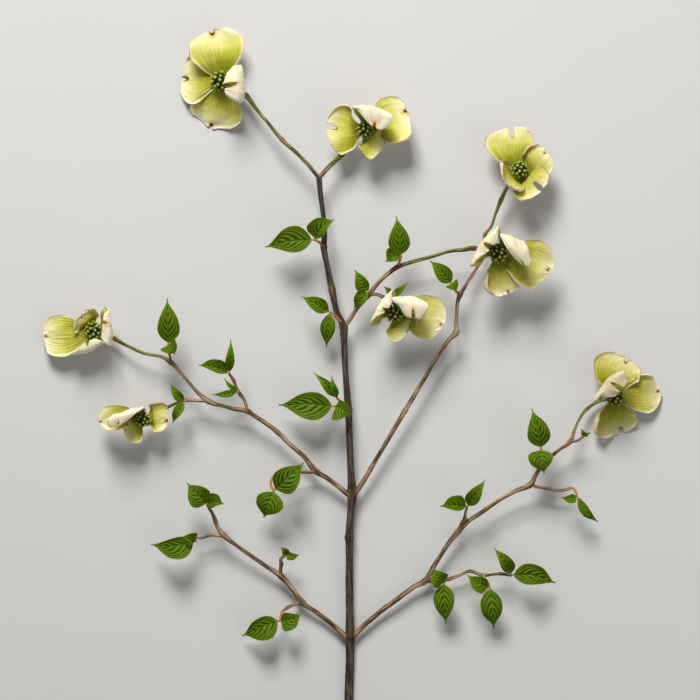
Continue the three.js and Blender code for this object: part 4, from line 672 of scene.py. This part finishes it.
def add_bract(shell, bloom, bract, rng):
    """One bract: a blade whose rows crowd towards the tip, u = 1 - (1 - r)^1.25, and whose columns crowd
    towards the rims, |v| = 1 - (1 - |c|)^1.5. Its relief adds up seven forms, each times its height: veins,
    cosines across lanes that drift; a fine crinkle and a broad swell, ripples all over; a wave and a frill,
    ripples that grow with |v|^3 and with the sixth power of the nearness to a rim or the tip; puckers,
    cosines round the notch; and a knob in it. The sum is held as most * tanh(sum / most), where most falls to
    the rims with the fourth power of edge. callus and halo are bells about the notch."""
    row, column = np.linspace(0, 1, BRACT_ROWS), np.linspace(-1, 1, BRACT_COLUMNS)
    u, v = np.meshgrid(1 - (1 - row) ** 1.25, np.sign(column) * (1 - (1 - abs(column)) ** 1.5),
                       indexing="ij")
    form = {key: bract[key] for key in ("crease", "notch", "trim", "roll", "rolled") if key in bract}
    line = bract_line(bloom, bract["line"])
    grid, s = blade(line, bract["half"], bract["curl"], bract_outline, u, v, **form)
    lane = v + BRACT_DRIFT * ripple(s, v, rng, 1.8) * s
    veins = np.cos(2 * math.pi * BRACT_LANES * lane) * smooth(0.05, 0.3, s) * (1 - smooth(0.82, 1, s))
    veins = veins * (0.6 + 0.4 * ripple(s, 1.5 * v, rng, 1.8))
    crinkle = ripple(2 * s, 1.5 * v, rng, 2.2) * smooth(0.25, 0.6, s)
    swell = ripple(s, 0.6 * v, rng, 1.6) * smooth(0.15, 0.6, s)
    wave = ripple(2 * s, np.sign(v), rng, 1.7) * abs(v) ** 3
    wave = wave * smooth(0.2, 0.6, s) * (1 - smooth(0.8, 1, u))
    frill = ripple(3 * s, 2 * v, rng, 1.6) * np.maximum(abs(v), u) ** 6 * smooth(0.3, 0.6, s)
    pucker = np.cos(2 * math.pi * BRACT_PUCKERS * v) * about_notch(u, v, PUCKER_SPOT)
    knob = about_notch(u, v, KNOB_SPOT)
    relief = (BRACT_VEIN * bract.get("pleat", 1.0) * veins + BRACT_CRINKLE * crinkle + BRACT_SWELL * swell
              + BRACT_WAVE * wave + BRACT_FRILL * frill + BRACT_PUCKER * pucker + BRACT_KNOB * knob)
    edge = np.maximum(abs(v), smooth(0.9, 1, u))
    most = BRACT_MOST + (BRACT_RIM_MOST - BRACT_MOST) * edge**4
    relief = most * np.tanh(relief / most)
    size = bract.get("callus", CALLUS_SIZE)
    # Each bract carries its bloom's share of painted shade, which darkens all of that bloom's bracts.
    two_faced(shell, grid, relief, along=s, across=v, edge=edge, tone=rng.uniform(),
              faded=bloom.get("faded", 0.0), callus=about_notch(u, v, np.multiply(size, CALLUS_SPOT)),
              halo=about_notch(u, v, np.multiply(size, HALO_SPOT)))


def add_lathe(shell, centre, profile, sides, **values):
    """A closed round form: each profile row (radius, height), from below, is a ring about the vertical
    through centre."""
    profile = np.asarray(profile)
    middles = centre + profile[:, 1:] * UP
    rings = rings_about(middles, profile[:, :1], angles_round(sides), RIGHT, AWAY)
    shell.add(rings, tube_faces(len(profile), sides), **values)


def make_bracts(number, bloom, material):
    """A bloom's four bracts and the receptacle that they grow from."""
    rng = np.random.default_rng(100 + number)
    shell = Shell()
    r, foot, top, low = RECEPTACLE_RADIUS, RECEPTACLE_FOOT_RADIUS, RECEPTACLE_TOP, RECEPTACLE_FOOT
    profile = [(0.8 * foot, low), (foot, low + 0.2 * MM), (0.75 * r, low + 0.8 * MM), (r, top - 0.8 * MM),
               (r, top - 0.2 * MM), (0.85 * r, top)]
    add_lathe(shell, place(bloom["centre"]), profile, RECEPTACLE_SIDES, along=0.0, back=0.4)
    for bract in bloom["bracts"]:
        add_bract(shell, bloom, bract, rng)
    shell.piece(f"bracts_{number}", material, f"bloom_{number}_bracts")


# ---- the closed flowers ----


def facing_turn(facing):
    """The shortest turn that takes straight up to the facing, as a matrix: I + K + K^2 / (1 + cosine),
    where K is the cross product with their normal."""
    x, y, _ = np.cross(UP, facing)
    k = np.array([[0, 0, y], [0, 0, -x], [-y, x, 0]])
    return np.eye(3) + k + k @ k / (1 + facing[2])


def make_flower_head(number, bloom, material):
    """A small round core with closed flowers set on it: flower k leans from the head's axis by an angle whose
    cosine falls evenly, and stands k golden angles round it. Its rings follow BUD_PROFILE, pinched into four
    lobes towards the tip: radius * (1 + 0.12 cos 4a)."""
    rng = np.random.default_rng(200 + number)
    shell = Shell()
    size = bloom["size"]
    facing = unit(np.array(bloom["face"], float))
    radius = HEAD_CORE_RADIUS * size
    lean = facing * HEAD_LEAN
    lean[2] = RECEPTACLE_TOP + SEAT_GAP + radius * HEAD_CORE_SHARE
    centre = place(bloom["centre"]) + lean
    polar = np.linspace(0, math.pi, HEAD_CORE_RINGS)
    core = radius * HEAD_CORE_SHARE * np.stack([np.sin(polar) + 0.02, -np.cos(polar)], axis=-1)
    add_lathe(shell, centre, core, HEAD_CORE_SIDES, rise=0.0)
    turned = facing_turn(facing)
    share, girth = BUD_PROFILE[:, :1], BUD_PROFILE[:, 1:]
    angle = angles_round(BUD_SIDES)
    lobes = 1 + BUD_LOBES * smooth(0.3, 0.9, share) * np.cos(4 * angle)
    for k in range(BUD_COUNT):
        cosine, turn = HEAD_TOP - HEAD_FALL * k / (BUD_COUNT - 1), k * GOLDEN_ANGLE
        sine = math.sqrt(1 - cosine**2)
        way = turned @ [sine * math.cos(turn), sine * math.sin(turn), cosine]
        way = unit(way + rng.normal(0, BUD_STRAY, 3))
        side = unit(np.cross(way, UP) if abs(way[2]) < 0.95 else RIGHT)
        swell = rng.uniform(*BUD_GIRTHS)
        middles = (centre + way * radius * BUD_SEAT
                   + share * way * BUD_LENGTH * size * rng.uniform(*BUD_LENGTHS))
        rings = rings_about(middles, girth * lobes * BUD_RADIUS * size * swell, angle, side,
                            np.cross(way, side))
        shell.add(rings, tube_faces(len(BUD_PROFILE), BUD_SIDES), rise=np.repeat(share, BUD_SIDES),
                  tone=rng.uniform())
    shell.piece(f"flower_head_{number}", material, f"bloom_{number}_flowers")


# ---- wood ----


def carried(tangents, side):
    """A side vector carried along the tangents without twist: on each it loses its part along them."""
    sides = np.empty_like(tangents)
    for i, tangent in enumerate(tangents):
        side = side - tangent * side.dot(tangent)
        side = side / np.linalg.norm(side)
        sides[i] = side
    return sides


def add_tube(shell, rows, sides, gap, relief=None, **values):
    """A round tube with domed ends along the curve through rows of x, y, z, radius, with a ring each gap.
    relief(length, angle, radius) gives what the bark stands out. Each value is a number, or a function of
    the length along the tube."""
    rows = np.asarray(rows, float)
    whole = by_length(rows, 1.0)[1]
    share = np.linspace(0, 1, max(int(whole / gap), 4))
    path = curve_at(rows, by_length(rows, share)[0])
    middles, bare = path[:, :3], path[:, 3:4]
    tangents = unit(np.gradient(middles, axis=0))
    start = np.cross(UP, tangents[0])
    side = carried(tangents, start if np.linalg.norm(start) > 0.1 else RIGHT)
    angle = angles_round(sides)
    length = share * whole
    radius = bare + (relief(length[:, None], angle, bare) if relief else 0 * angle)
    rings = rings_about(middles, radius, angle, side[:, None], np.cross(tangents, side)[:, None])
    ends = [[middles[end] + (rings[end] - middles[end]) * inner + way * tangents[end] * bare[end] * out
             for inner, out in TUBE_ENDS] for end, way in ((0, -1), (-1, 1))]
    rings = np.concatenate([ends[0][::-1], rings, ends[1]])
    rings[..., 2] = np.maximum(rings[..., 2], FLOOR_GAP)
    more = len(TUBE_ENDS)
    length = np.pad(length, more, mode="edge")
    crevice = np.pad(radius - bare, ((more, more), (0, 0)))
    around = np.tile(angle, len(rings))
    given = {name: np.repeat(value(length), sides) if callable(value) else value
             for name, value in values.items()}
    shell.add(rings, tube_faces(len(rings), sides), crevice=crevice.ravel() / MM, ring_x=np.cos(around),
              ring_y=np.sin(around), **given)


def wood_rows(name):
    """A woody route as rows of x, y, z, radius in metres, carried up under its bloom where it has one."""
    route = WOOD[name]
    rows = np.array(route["rows"], float)
    points = np.column_stack([place(rows), rows[:, 3] * STEP / 2])
    if "bloom" in route:
        centre = place(BLOOMS[route["bloom"] - 1]["centre"])
        under = [[*(centre + UP * height), PEDUNCLE_RADIUS] for height in (PEDUNCLE_BEND, PEDUNCLE_END)]
        points = np.vstack([points, under])
    return points


def knot_places(rows, thick):
    """The lengths along a route of the rows that are thicker than their neighbours' mean."""
    share = np.linspace(0, 1, 400)
    t, whole = by_length(rows, share)
    lengths = np.interp(np.linspace(0, 1, len(rows)), t, share * whole)
    return [lengths[i] for i in range(1, len(thick) - 1)
            if thick[i] > KNOT_EXCESS * (thick[i - 1] + thick[i + 1]) / 2]


def add_route(shell, name, rng):
    """One woody route: a tube with bark ridges along it, rings at its knots, and a green stalk under its
    bloom. Its values say where it is stalk, knot and young, and how its bark's pattern runs along it."""
    route, rows = WOOD[name], wood_rows(name)
    thick = np.array([row[3] for row in route["rows"]])
    knots = knot_places(rows, thick)
    phases = rng.uniform(0, 1, 12)
    green = route.get("green", 0.0) * MM
    whole = by_length(rows, 1.0)[1]

    def relief(length, angle, radius):
        """Sines round the twig that drift along it, and two rings on a low lump at each knot, as shares of
        its radius."""
        ridges = sum(np.sin(k * angle + 2 * math.pi * (phases[k] + RIDGE_TURNS * (1 + 0.3 * k) * length
                     + 0.25 * np.sin(300 * length + k))) for k in RIDGE_WAVES) / len(RIDGE_WAVES)
        rings = sum(bump(length - at - step, KNOT_RING_WIDTH) for at in knots for step in KNOT_RINGS)
        lumps = sum(bump(length - at, KNOT_LUMP_WIDTH) for at in knots)
        return radius * (RIDGE_HEIGHT * ridges + KNOT_RING_HEIGHT * rings + KNOT_LUMP_HEIGHT * lumps)

    def stalk(length):
        """1 on the green stalk before a bloom, 0 on the bark before it."""
        return smooth(whole - green - GREEN_FADE, whole - green + GREEN_FADE, length)

    def knot(length):
        """1 at each knot, fading to both sides."""
        return sum((bump(length - at, KNOT_STAIN_WIDTH) for at in knots), 0 * length)

    def grain(length):
        """The length, from a place of the route's own."""
        return length + phases[0]

    add_tube(shell, rows, route.get("sides", TWIG_SIDES), TWIG_RING_GAP, relief, knot=knot, grain=grain,
             stalk=stalk if green else 0.0, young=1.0 - smooth(*OLD_THICKNESS, np.median(thick)))


def make_wood(material):
    """The whole woody branch: one tube a route."""
    rng = np.random.default_rng(11)
    shell = Shell()
    for name in WOOD:
        add_route(shell, name, rng)
    shell.piece("bark_and_twigs", material, "woody_branch")


# ---- leafy shoots ----


def add_leaf(shell, root, leaf, rng):
    """One leaf: the blade, raised between veins that leave the midrib in pairs and bend along the margin to
    the tip. A vein runs where arch = s - 0.24 |v| - 0.42 |v|^3 stays the same. The relief adds up pillows,
    -cos(2 pi 6.5 arch), a groove along the midrib and a ripple that grows with v^2."""
    u, v = np.meshgrid(np.linspace(0, 1, LEAF_ROWS), np.linspace(-1, 1, LEAF_COLUMNS), indexing="ij")
    line = np.vstack([root, place(leaf["line"])])
    grid, s = blade(line, leaf["half"], (LEAF_CURL, LEAF_CURL), leaf_outline, u, v, fold=leaf["fold"])
    size = min(np.linalg.norm(line[-1] - line[0]) / LEAF_FULL_LENGTH, 1)
    arch = s - LEAF_ARCH[0] * abs(v) - LEAF_ARCH[1] * abs(v) ** 3 + rng.uniform(-0.03, 0.03)
    pillow = -np.cos(2 * math.pi * arch * LEAF_VEIN_PAIRS) * smooth(0.02, 0.15, s) * (1 - smooth(0.85, 1, s))
    pillow = pillow * smooth(0, 0.16, abs(v)) * (1 - smooth(0.85, 1, abs(v)))
    before_tip = 1 - smooth(0.8, 0.97, s)
    midrib = -bump(v, 0.07) * before_tip
    wave = ripple(s, 0.5 * v, rng, 1.3) * abs(v) ** 2 * before_tip
    relief = size * (LEAF_PILLOW * pillow + LEAF_MIDRIB * midrib + LEAF_WAVE * wave)
    edge = np.maximum(abs(v), smooth(0.93, 1, u))
    two_faced(shell, grid, relief, along=s, across=v, edge=edge, arch=arch, tone=rng.uniform())


def make_shoot(number, shoot, material):
    """A soft shoot that carries on its twig, with its leaves."""
    rng = np.random.default_rng(300 + number)
    shell = Shell()
    twig = wood_rows(shoot["on"])
    twig_end, ahead = end_of(twig)
    start = twig_end + ahead * SEAT_GAP
    first = min(twig[-1, 3], SHOOT_RADIUS)
    route = np.array(shoot["route"], float)
    rows = np.vstack([[*start, first], [*(start + ahead * SHOOT_START), first],
                      np.column_stack([place(route), route[:, 3] * STEP / 2])])
    add_tube(shell, rows, SHOOT_SIDES, SHOOT_RING_GAP, stem=1.0)
    end, way = end_of(rows)
    for leaf in shoot["leaves"]:
        add_leaf(shell, end - way * LEAF_ROOT, leaf, rng)
    shell.piece(f"young_leaves_{number:02d}", material, f"leafy_shoot_{number:02d}")


# ---- materials ----


def linear(code):
    """A colour from its six hex digits, in linear light."""
    values = [int(code[i:i + 2], 16) / 255 for i in (0, 2, 4)]
    return (*[c / 12.92 if c <= 0.04045 else ((c + 0.055) / 1.055) ** 2.4 for c in values], 1.0)


class Finish:
    """A material's node tree: each call adds a node and gives the socket that it puts out. A colour is
    another socket or six hex digits."""

    def __init__(self, name, **constants):
        self.material = bpy.data.materials.new(name)
        self.material.use_nodes = True
        self.tree = self.material.node_tree
        self.shader = self.tree.nodes["Principled BSDF"]
        for socket, value in constants.items():
            self.shader.inputs[socket.replace("_", " ")].default_value = value

    def wire(self, value, socket):
        """Joins a socket to another, or sets it to a number or a colour."""
        if isinstance(value, bpy.types.NodeSocket):
            self.tree.links.new(value, socket)
        else:
            socket.default_value = linear(value) if isinstance(value, str) else value

    def value(self, name):
        """An attribute of the mesh."""
        node = self.tree.nodes.new("ShaderNodeAttribute")
        node.attribute_name = name
        return node.outputs["Fac"]

    def math(self, operation, a, b=0.0):
        """A sum or function of two numbers."""
        node = self.tree.nodes.new("ShaderNodeMath")
        node.operation = operation
        self.wire(a, node.inputs[0])
        self.wire(b, node.inputs[1])
        return node.outputs[0]

    def times(self, a, b):
        """The product of two numbers."""
        return self.math("MULTIPLY", a, b)

    def step(self, x, low, high, to_low=0.0, to_high=1.0):
        """x from low to high smoothly onto to_low to to_high."""
        node = self.tree.nodes.new("ShaderNodeMapRange")
        node.interpolation_type = "SMOOTHSTEP"
        keys = ("Value", "From Min", "From Max", "To Min", "To Max")
        for key, value in zip(keys, (x, low, high, to_low, to_high)):
            self.wire(value, node.inputs[key])
        return node.outputs["Result"]

    def mix(self, share, a, b, blend="MIX"):
        """Colour a, with the share of colour b."""
        node = self.tree.nodes.new("ShaderNodeMix")
        node.data_type, node.blend_type = "RGBA", blend
        self.wire(share, node.inputs["Factor"])
        self.wire(a, node.inputs[6])
        self.wire(b, node.inputs[7])
        return node.outputs[2]

    def ramp(self, x, *stops):
        """Colours by place: each stop is (place, hex digits), in rising order."""
        node = self.tree.nodes.new("ShaderNodeValToRGB")
        node.color_ramp.interpolation = "EASE"
        elements = node.color_ramp.elements
        while len(elements) < len(stops):
            elements.new(0.5)
        for element, (place_on, code) in zip(elements, stops):
            element.position = place_on
            element.color = linear(code)
        self.wire(x, node.inputs[0])
        return node.outputs[0]

    def noise(self, scale, detail=3.0, vector=None):
        """Noise in cycles a unit of the vector, which is the place on the object in metres if not given."""
        node = self.tree.nodes.new("ShaderNodeTexNoise")
        node.inputs["Scale"].default_value = scale
        node.inputs["Detail"].default_value = detail
        if vector is None:
            vector = self.tree.nodes.new("ShaderNodeTexCoord").outputs["Object"]
        self.wire(vector, node.inputs["Vector"])
        return node.outputs["Fac"]

    def value_noise(self, detail=2.0, **scales):
        """Noise over three attributes of the mesh, each with its own scale."""
        node = self.tree.nodes.new("ShaderNodeCombineXYZ")
        for socket, (name, scale) in zip(node.inputs, scales.items()):
            self.wire(self.times(self.value(name), scale), socket)
        return self.noise(1.0, detail, node.outputs[0])

    def blade_noise(self, along_scale, across_scale):
        """Noise on the blade's own two coordinates."""
        return self.value_noise(along=along_scale, across=across_scale, tone=37.0)

    def relief(self, height, distance, strength):
        """A bump of the height, in metres at 1."""
        node = self.tree.nodes.new("ShaderNodeBump")
        node.inputs["Distance"].default_value = distance
        node.inputs["Strength"].default_value = strength
        self.wire(height, node.inputs["Height"])
        self.wire(node.outputs[0], self.shader.inputs["Normal"])

    def colour(self, value, roughness=None):
        """Sets the base colour, and the roughness where it is given, and gives the material."""
        self.wire(value, self.shader.inputs["Base Color"])
        if roughness is not None:
            self.wire(roughness, self.shader.inputs["Roughness"])
        return self.material


def bract_finish():
    """Bract: on its face yellow green at the foot and cream at the tip, with finer and darker lengthwise
    veins, pale streaks, and a near white band along the rims that is a painted highlight; on its back cream
    with olive streaks and pink clouds towards the tip. Whole blooms are darkened by their own share as
    painted shade. Over both a pink rim, and a brown callus in an orange halo."""
    f = Finish("dogwood bract", Roughness=0.5, IOR=1.4, Subsurface_Weight=0.5, Subsurface_Scale=0.0014,
               Subsurface_Radius=(1.0, 0.9, 0.35), Specular_IOR_Level=0.15, Sheen_Weight=0.03,
               Sheen_Roughness=0.5)
    along, edge, callus = f.value("along"), f.value("edge"), f.value("callus")
    wander = f.times(f.math("SUBTRACT", f.blade_noise(1.3, 1.6), 0.5), 0.22)
    lane = f.math("ADD", f.value("across"), wander)
    fine = f.math("SINE", f.times(lane, 2 * math.pi * 11))
    streaks = f.blade_noise(1.8, 16.0)

    face = f.ramp(along, (0.08, "6a7406"), (0.28, "92940e"), (0.48, "b2b036"), (0.66, "cbc76c"),
                  (0.84, "dedaa2"), (1.0, "f0ebce"))
    veins = f.times(f.step(fine, 0.2, 1.0), f.times(f.step(along, 1.0, 0.3), f.step(streaks, 0.3, 0.6)))
    face = f.mix(f.times(veins, 0.32), face, "7d7c10")
    pale = f.times(f.step(streaks, 0.42, 0.75, 0.0, 0.4), f.step(along, 0.1, 0.7, 0.35, 1.0))
    face = f.mix(pale, face, "eee6a2")
    # Painted highlight: the face turns near white towards the rims.
    face = f.mix(f.step(edge, 0.8, 0.97, 0.0, 0.5), face, "f8f3df")

    back = f.mix(f.step(streaks, 0.3, 0.8, 0.0, 0.7), "efe9d8", "d3ca94")
    back = f.mix(f.step(f.noise(75.0), 0.48, 0.7, 0.0, 0.5), back, "d9a79a")
    tipped = f.times(f.step(along, 0.6, 1.0, 0.0, 0.6), f.step(f.noise(130.0), 0.35, 0.65))
    tipped = f.times(tipped, f.step(f.value("tone"), 0.1, 0.9, 0.15, 1.0))
    back = f.mix(tipped, back, "cf9a8c")

    colour = f.mix(f.times(f.value("back"), 0.85), face, back)
    # Painted shade: whole blooms are darkened by their share, standing for less light falling on them.
    colour = f.mix(f.value("faded"), colour, "c8c3a4", "MULTIPLY")
    blush = f.times(f.step(edge, 0.95, 1.0), f.step(f.noise(90.0), 0.35, 0.65, 0.1, 0.95))
    colour = f.mix(blush, colour, "b9806a")
    colour = f.mix(f.times(f.step(f.value("halo"), 0.25, 0.9), 0.75), colour, "c99a2e")
    colour = f.mix(f.step(callus, 0.4, 0.8), colour, "3b231a")
    ribs = f.times(fine, f.step(streaks, 0.3, 0.7, 0.0, 0.8))
    f.relief(f.math("ADD", ribs, f.noise(900.0)), 0.00012, 0.5)
    return f.colour(colour, f.step(callus, 0.2, 0.8, 0.5, 0.75))


def flower_finish():
    """Closed flowers: yellow green at the tip, deep green lower down and nearly black at the foot, partly
    their own colour and partly painted shade in the gaps between them, with a waxy sheen.
    """
    f = Finish("closed dogwood flowers", IOR=1.45, Subsurface_Weight=0.15, Subsurface_Scale=0.0008)
    # The tip's yellow green is the flowers' own colour. The dark foot is partly their own green and partly
    # painted shade in the gaps between them.
    colour = f.ramp(f.value("rise"), (0.0, "101c04"), (0.42, "30460a"), (0.78, "788716"), (0.97, "b3b03e"))
    colour = f.mix(f.times(f.value("tone"), 0.3), colour, "465f0a")
    f.relief(f.noise(2200.0), 0.00008, 0.5)
    return f.colour(colour, 0.42)


def leaf_finish():
    """Young leaf: fresh green, darkened towards the grooves of its paler arched veins as painted shade, with
    a red brown tip, a grey green back, and a pink and orange shoot."""
    f = Finish("young dogwood leaf", IOR=1.42, Subsurface_Weight=0.1, Subsurface_Scale=0.0008,
               Specular_IOR_Level=0.12)
    along = f.value("along")
    vein = f.math("COSINE", f.times(f.value("arch"), 2 * math.pi * LEAF_VEIN_PAIRS))
    midrib = f.step(f.math("ABSOLUTE", f.value("across")), 0.06, 0.02)
    lines = f.times(f.step(vein, 0.9, 0.99), f.step(along, 0.9, 0.5, 0.0, 0.3))
    lines = f.math("MAXIMUM", lines, midrib)
    # Painted shade: the blade darkens from its raised pillows down into the vein grooves.
    colour = f.mix(f.step(vein, -0.9, 0.6), "577602", "1d3001")
    colour = f.mix(f.step(f.blade_noise(9.0, 6.0), 0.35, 0.8, 0.0, 0.35), colour, "6d8a0c")
    colour = f.mix(f.times(lines, 0.5), colour, "829628")
    colour = f.mix(f.value("back"), colour, f.mix(f.times(lines, 0.8), "61793a", "95a75c"))
    colour = f.mix(f.step(f.value("edge"), 0.93, 1.0, 0.0, 0.5), colour, "93a53a")
    colour = f.mix(f.step(along, 0.95, 1.0), colour, "8c4326")
    colour = f.mix(f.step(along, 0.10, 0.02), colour, "b98a4c")
    colour = f.mix(f.value("stem"), colour, f.mix(f.noise(260.0), "b5694a", "a3803c"))
    f.relief(f.math("ADD", f.times(lines, -0.6), f.times(f.noise(1800.0), 0.5)), 0.00012, 0.6)
    return f.colour(colour, 0.55)


def bark_finish():
    """Bark: grey brown with pale specks on the old stem, tan with paler patches on the young twigs, red at
    the knots, and olive green on the flower stalks, and darkened in the furrows where its relief sinks as
    painted shade. Its pattern is drawn out along the wood."""
    f = Finish("dogwood bark", IOR=1.4, Specular_IOR_Level=0.3)
    stalk = f.value("stalk")
    grain = f.value_noise(4.0, ring_x=1.6, ring_y=1.6, grain=110.0)
    patch = f.value_noise(2.0, ring_x=0.7, ring_y=0.7, grain=38.0)
    old = f.mix(f.step(grain, 0.35, 0.68), "2c231d", "5b4b3f")
    young = f.mix(f.step(grain, 0.35, 0.65), "32261b", "9a7d5b")
    young = f.mix(f.step(patch, 0.48, 0.7, 0.0, 0.7), young, "c2aa88")
    colour = f.mix(f.value("young"), old, young)
    colour = f.mix(stalk, colour, f.mix(f.step(grain, 0.35, 0.7), "2e330a", "8f8a48"))
    red = f.times(f.value("knot"), f.step(stalk, 0.0, 1.0, 0.35, 0.75))
    colour = f.mix(red, colour, f.mix(f.step(grain, 0.4, 0.6), "4a281c", "8a6448"))
    # Painted shade: the bark darkens where its relief sinks below the bare radius.
    colour = f.mix(f.step(f.value("crevice"), 0.0, -0.09, 0.0, 0.65), colour, "1f1612")
    colour = f.mix(f.step(f.noise(1500.0, 1.0), 0.68, 0.78, 0.0, 0.35), colour, "b5a184")
    f.relief(f.math("ADD", grain, f.times(f.noise(1700.0), 0.5)), 0.0003, 0.9)
    return f.colour(colour, f.step(grain, 0.2, 0.8, 0.85, 0.6))


# ---- the pieces ----

bark, bract, flower, leaf = bark_finish(), bract_finish(), flower_finish(), leaf_finish()
make_wood(bark)
for number, bloom in enumerate(BLOOMS, 1):
    make_bracts(number, bloom, bract)
    make_flower_head(number, bloom, flower)
for number, shoot in enumerate(SHOOTS, 1):
    make_shoot(number, shoot, leaf)

# ---- floor, light and camera ----

FLOOR_REACH = 4.0
SKY_STRENGTH = 0.3
VIEW_PLACE = (350, 350)  # the place on the sheet that the camera looks straight down on
VIEW_WIDTH = 700 * STEP
VIEW_DISTANCE = 2.5
VIEW_PLANE = 15 * MM  # the height at which the view is just that wide
SENSOR_WIDTH = 36.0  # mm, as the lens
CLIP_END = 20.0


def make_floor(reach):
    """A wide pale floor with a soft, nearly matt finish."""
    mesh = bpy.data.meshes.new("floor")
    mesh.from_pydata([(-reach, -reach, 0), (reach, -reach, 0), (reach, reach, 0), (-reach, reach, 0)], [],
                     [(0, 1, 2, 3)])
    floor = bpy.data.objects.new("floor", mesh)
    bpy.context.scene.collection.objects.link(floor)
    f = Finish("pale floor", Roughness=0.7, Specular_IOR_Level=0.3)
    mesh.materials.append(f.colour(f.mix(f.noise(6.0), "c4c2be", "c9c7c3")))


def add_softbox(name, at, size, power):
    """A square soft light at a place, turned to the middle of the branch."""
    light = bpy.data.lights.new(name, "AREA")
    light.shape, light.size, light.energy = "SQUARE", size, power
    lamp = bpy.data.objects.new(name, light)
    bpy.context.scene.collection.objects.link(lamp)
    lamp.location = at
    lamp.rotation_euler = (-Vector(at)).to_track_quat("-Z", "Y").to_euler()


def add_sky(colour, strength):
    """An even pale light from all round."""
    world = bpy.data.worlds.new("studio")
    world.use_nodes = True
    background = world.node_tree.nodes["Background"]
    background.inputs["Color"].default_value = linear(colour)
    background.inputs["Strength"].default_value = strength
    bpy.context.scene.world = world


def add_camera():
    """A camera that looks straight down and sees the view's width at the view's plane."""
    data = bpy.data.cameras.new("camera")
    data.sensor_width = SENSOR_WIDTH
    data.lens = SENSOR_WIDTH * VIEW_DISTANCE / VIEW_WIDTH
    data.clip_end = CLIP_END
    camera = bpy.data.objects.new("camera", data)
    bpy.context.scene.collection.objects.link(camera)
    camera.location = place([*VIEW_PLACE, 0]) + UP * (VIEW_PLANE + VIEW_DISTANCE)
    bpy.context.scene.camera = camera


make_floor(FLOOR_REACH)
add_softbox("key light", at=(-0.35, 1.6, 1.45), size=0.8, power=60.0)
add_softbox("fill light", at=(0.9, -0.5, 1.0), size=1.0, power=3.0)
add_sky("e6e8ea", SKY_STRENGTH)
add_camera()
bpy.context.scene.view_settings.view_transform = "Standard"
